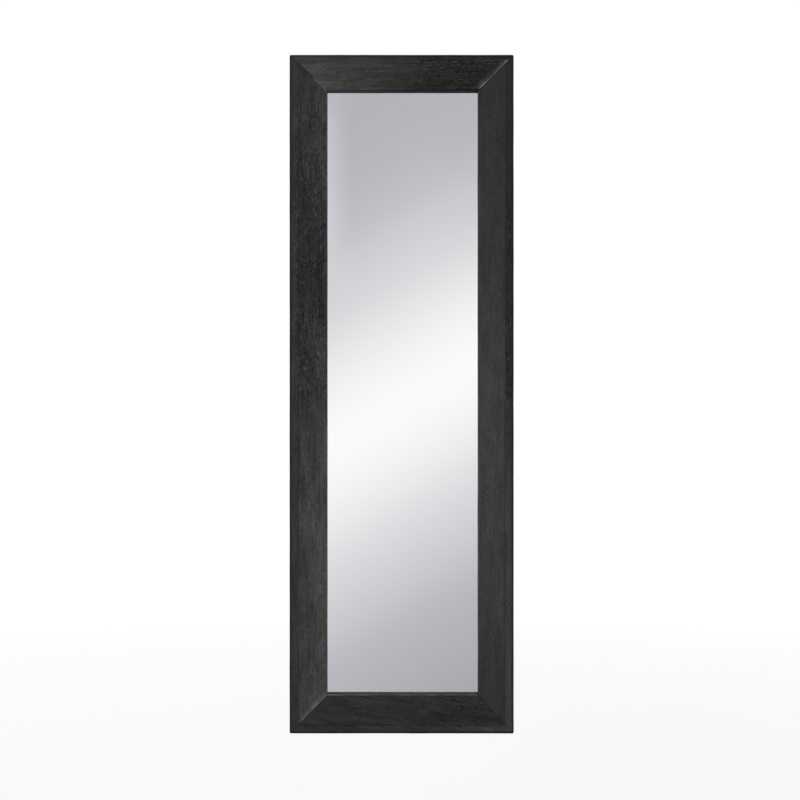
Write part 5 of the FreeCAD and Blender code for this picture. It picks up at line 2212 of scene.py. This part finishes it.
@dataclass
class Studio:
    """A pale floor, soft lamps, a white background with a soft grey reflection, and the camera."""

    distance: float = 2.6
    view_width: float = 1.4234
    view_offset: Vector = Vector((-0.0029, 0, -0.0104))
    floor_gap: float = 0.35
    floor_size: float = 14.0
    fade_start: float = 1.5
    fade_end: float = 4.0
    near_whiteness: float = 0.75
    ambient: float = 0.42
    reflection_tilt: float = -0.58
    reflection_stops: tuple[tuple[float, str], ...] = (
        (-1.0, "#8b8c90"), (-0.3, "#a3a4a7"), (-0.207, "#afb0b3"), (-0.14, "#c6c6c9"), (-0.07, "#e9e9e9"),
        (-0.002, "#fffffc"), (0.067, "#e6e6e6"), (0.122, "#cccdcf"), (0.165, "#bcbdc0"), (0.24, "#babbbf"),
        (1.0, "#d7d8da"),
    )
    gleam_ranges: tuple[tuple[float, ...], ...] = (
        (0, -0.056, -0.030, 0.3, 0.0), (0, 0.01, 0.06, 0.0, -0.055), (2, 0.06, 0.14, 0.0, 1.0),
        (2, 0.178, 0.205, 1.0, 0.35),
    )

    def build(self) -> None:
        """Sets the stage and the camera."""
        bpy.context.scene.view_settings.view_transform = "Standard"
        self.floor()
        self.lamps()
        self.world()
        self.camera()

    def floor(self) -> None:
        """A matt pale floor that keeps the object's shadow and fades to white further away."""
        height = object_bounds()[0][2] - self.floor_gap
        bpy.ops.object.select_all(action="DESELECT")
        bpy.ops.mesh.primitive_plane_add(size=self.floor_size, location=(0, 0, height))
        floor = Shaper("studio_floor").obj
        floor.visible_glossy = False
        material = bpy.data.materials.new("studio_floor_paint")
        material.use_nodes = True
        graph = Graph(material.node_tree)
        matt = graph.add("BsdfDiffuse", {"Color": "#f5f5f5"})
        white = graph.add("Emission", {"Color": "#ffffff", "Strength": 1.0})
        away = graph.add("VectorMath", (graph.add("TexCoord").outputs["Object"],), operation="LENGTH")
        share = graph.add(
            "MapRange", (away.outputs["Value"], self.fade_start, self.fade_end, self.near_whiteness),
            interpolation_type="SMOOTHSTEP",
        )
        camera = graph.add("LightPath").outputs["Is Camera Ray"]
        seen = graph.add("Math", (camera, share), operation="MULTIPLY")
        mixed = graph.add("MixShader", (seen, matt, white))
        graph.add("OutputMaterial", {"Surface": mixed})
        floor.data.materials.append(material)
        floor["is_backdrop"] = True

    def lamps(self) -> None:
        """Large soft lamps: a key at the upper left, a fill at the right, one above and two behind."""
        for name, place, size, power in (
            ("key", (-1.7, -2.6, 2.0), 1.8, 32),
            ("fill", (1.9, -2.4, 0.7), 2.0, 15),
            ("top", (0.2, -0.6, 2.6), 1.8, 17),
            ("rear", (-1.4, 2.5, 1.4), 2.0, 28),
            ("side", (2.4, 1.2, 1.0), 1.6, 14),
        ):
            bpy.ops.object.light_add(type="AREA", location=place)
            lamp = bpy.context.view_layer.objects.active
            lamp.name = f"{name}_lamp"
            lamp.data.size = size
            lamp.data.energy = power
            lamp.rotation_euler = (-Vector(place)).to_track_quat("-Z", "Y").to_euler()
            lamp.visible_glossy = False

    def world(self) -> None:
        """White to the camera, even grey light on the object, and a soft band in what it reflects."""
        world = bpy.data.worlds.new("studio_world")
        bpy.context.scene.world = world
        world.use_nodes = True
        graph = Graph(world.node_tree)
        way = graph.add("SeparateXYZ", (graph.add("TexCoord").outputs["Generated"],)).outputs
        tilted = graph.add("Math", (way[0], self.reflection_tilt, way[2]), operation="MULTIPLY_ADD")
        share = graph.add("MapRange", (tilted, -1.0, 1.0))
        ramp = graph.add("ValToRGB", {"Fac": share})
        ramp.color_ramp.interpolation = "CARDINAL"
        stops = ramp.color_ramp.elements
        while len(stops) < len(self.reflection_stops):
            stops.new(0.5)
        for stop, (position, colour) in zip(stops, self.reflection_stops):
            stop.position = (position + 1) / 2
            stop.color = linear(colour)
        path = graph.add("LightPath").outputs
        light = graph.add("Background", {"Color": "#ffffff", "Strength": self.ambient})
        white = graph.add("Background", {"Color": "#ffffff", "Strength": 1.0})
        reflected = graph.add("Background", {"Color": ramp, "Strength": self.gleam(graph, way)})
        seen = graph.add("MixShader", (path["Is Camera Ray"], light, white))
        mixed = graph.add("MixShader", (path["Is Glossy Ray"], seen, reflected))
        graph.add("OutputWorld", {"Surface": mixed})

    def gleam(self, graph: Graph, way: Sequence[bpy.types.NodeSocket]) -> Node:
        """A soft pale reflection at the upper left, and a slightly darker one across from it.

        Args:
            graph: The graph of the world.
            way: The X, Y and Z of the way that is looked.

        Returns:
            How strong the reflection is.
        """
        left, right, rise, fall = (
            graph.add("MapRange", (way[axis], *values), interpolation_type="SMOOTHSTEP")
            for axis, *values in self.gleam_ranges
        )
        change = graph.add("Math", (left, right), operation="ADD")
        height = graph.add("Math", (rise, fall), operation="MULTIPLY")
        return graph.add("Math", (change, height, 1.0), operation="MULTIPLY_ADD")

    def camera(self) -> None:
        """Stands straight in front of the mirror, a little below and to the left of its middle."""
        low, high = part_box("left_stile")
        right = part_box("right_stile")[1].x
        centre = Vector(((low.x + right) / 2, low.y, (low.z + high.z) / 2))
        place = centre + self.view_offset - Y_AXIS * self.distance
        bpy.ops.object.camera_add(location=place, rotation=(math.pi / 2, 0, 0))
        camera = bpy.context.view_layer.objects.active
        camera.name = "studio_camera"
        camera.data.lens = camera.data.sensor_width * self.distance / self.view_width
        bpy.context.scene.camera = camera


def main() -> None:
    """Builds every sub-assembly and the studio."""
    logging.basicConfig(level=logging.INFO, format="%(message)s")
    WoodFrame().build()
    Glazing().build()
    for level in ("lower", "upper"):
        BallSlide(level).build()
    Carrier().build()
    for level in ("lower", "upper"):
        Catch(level).build()
    for position in ("lower", "middle", "upper"):
        ButtHinge(position).build()
    Studio().build()


if __name__ == "__main__":
    main()
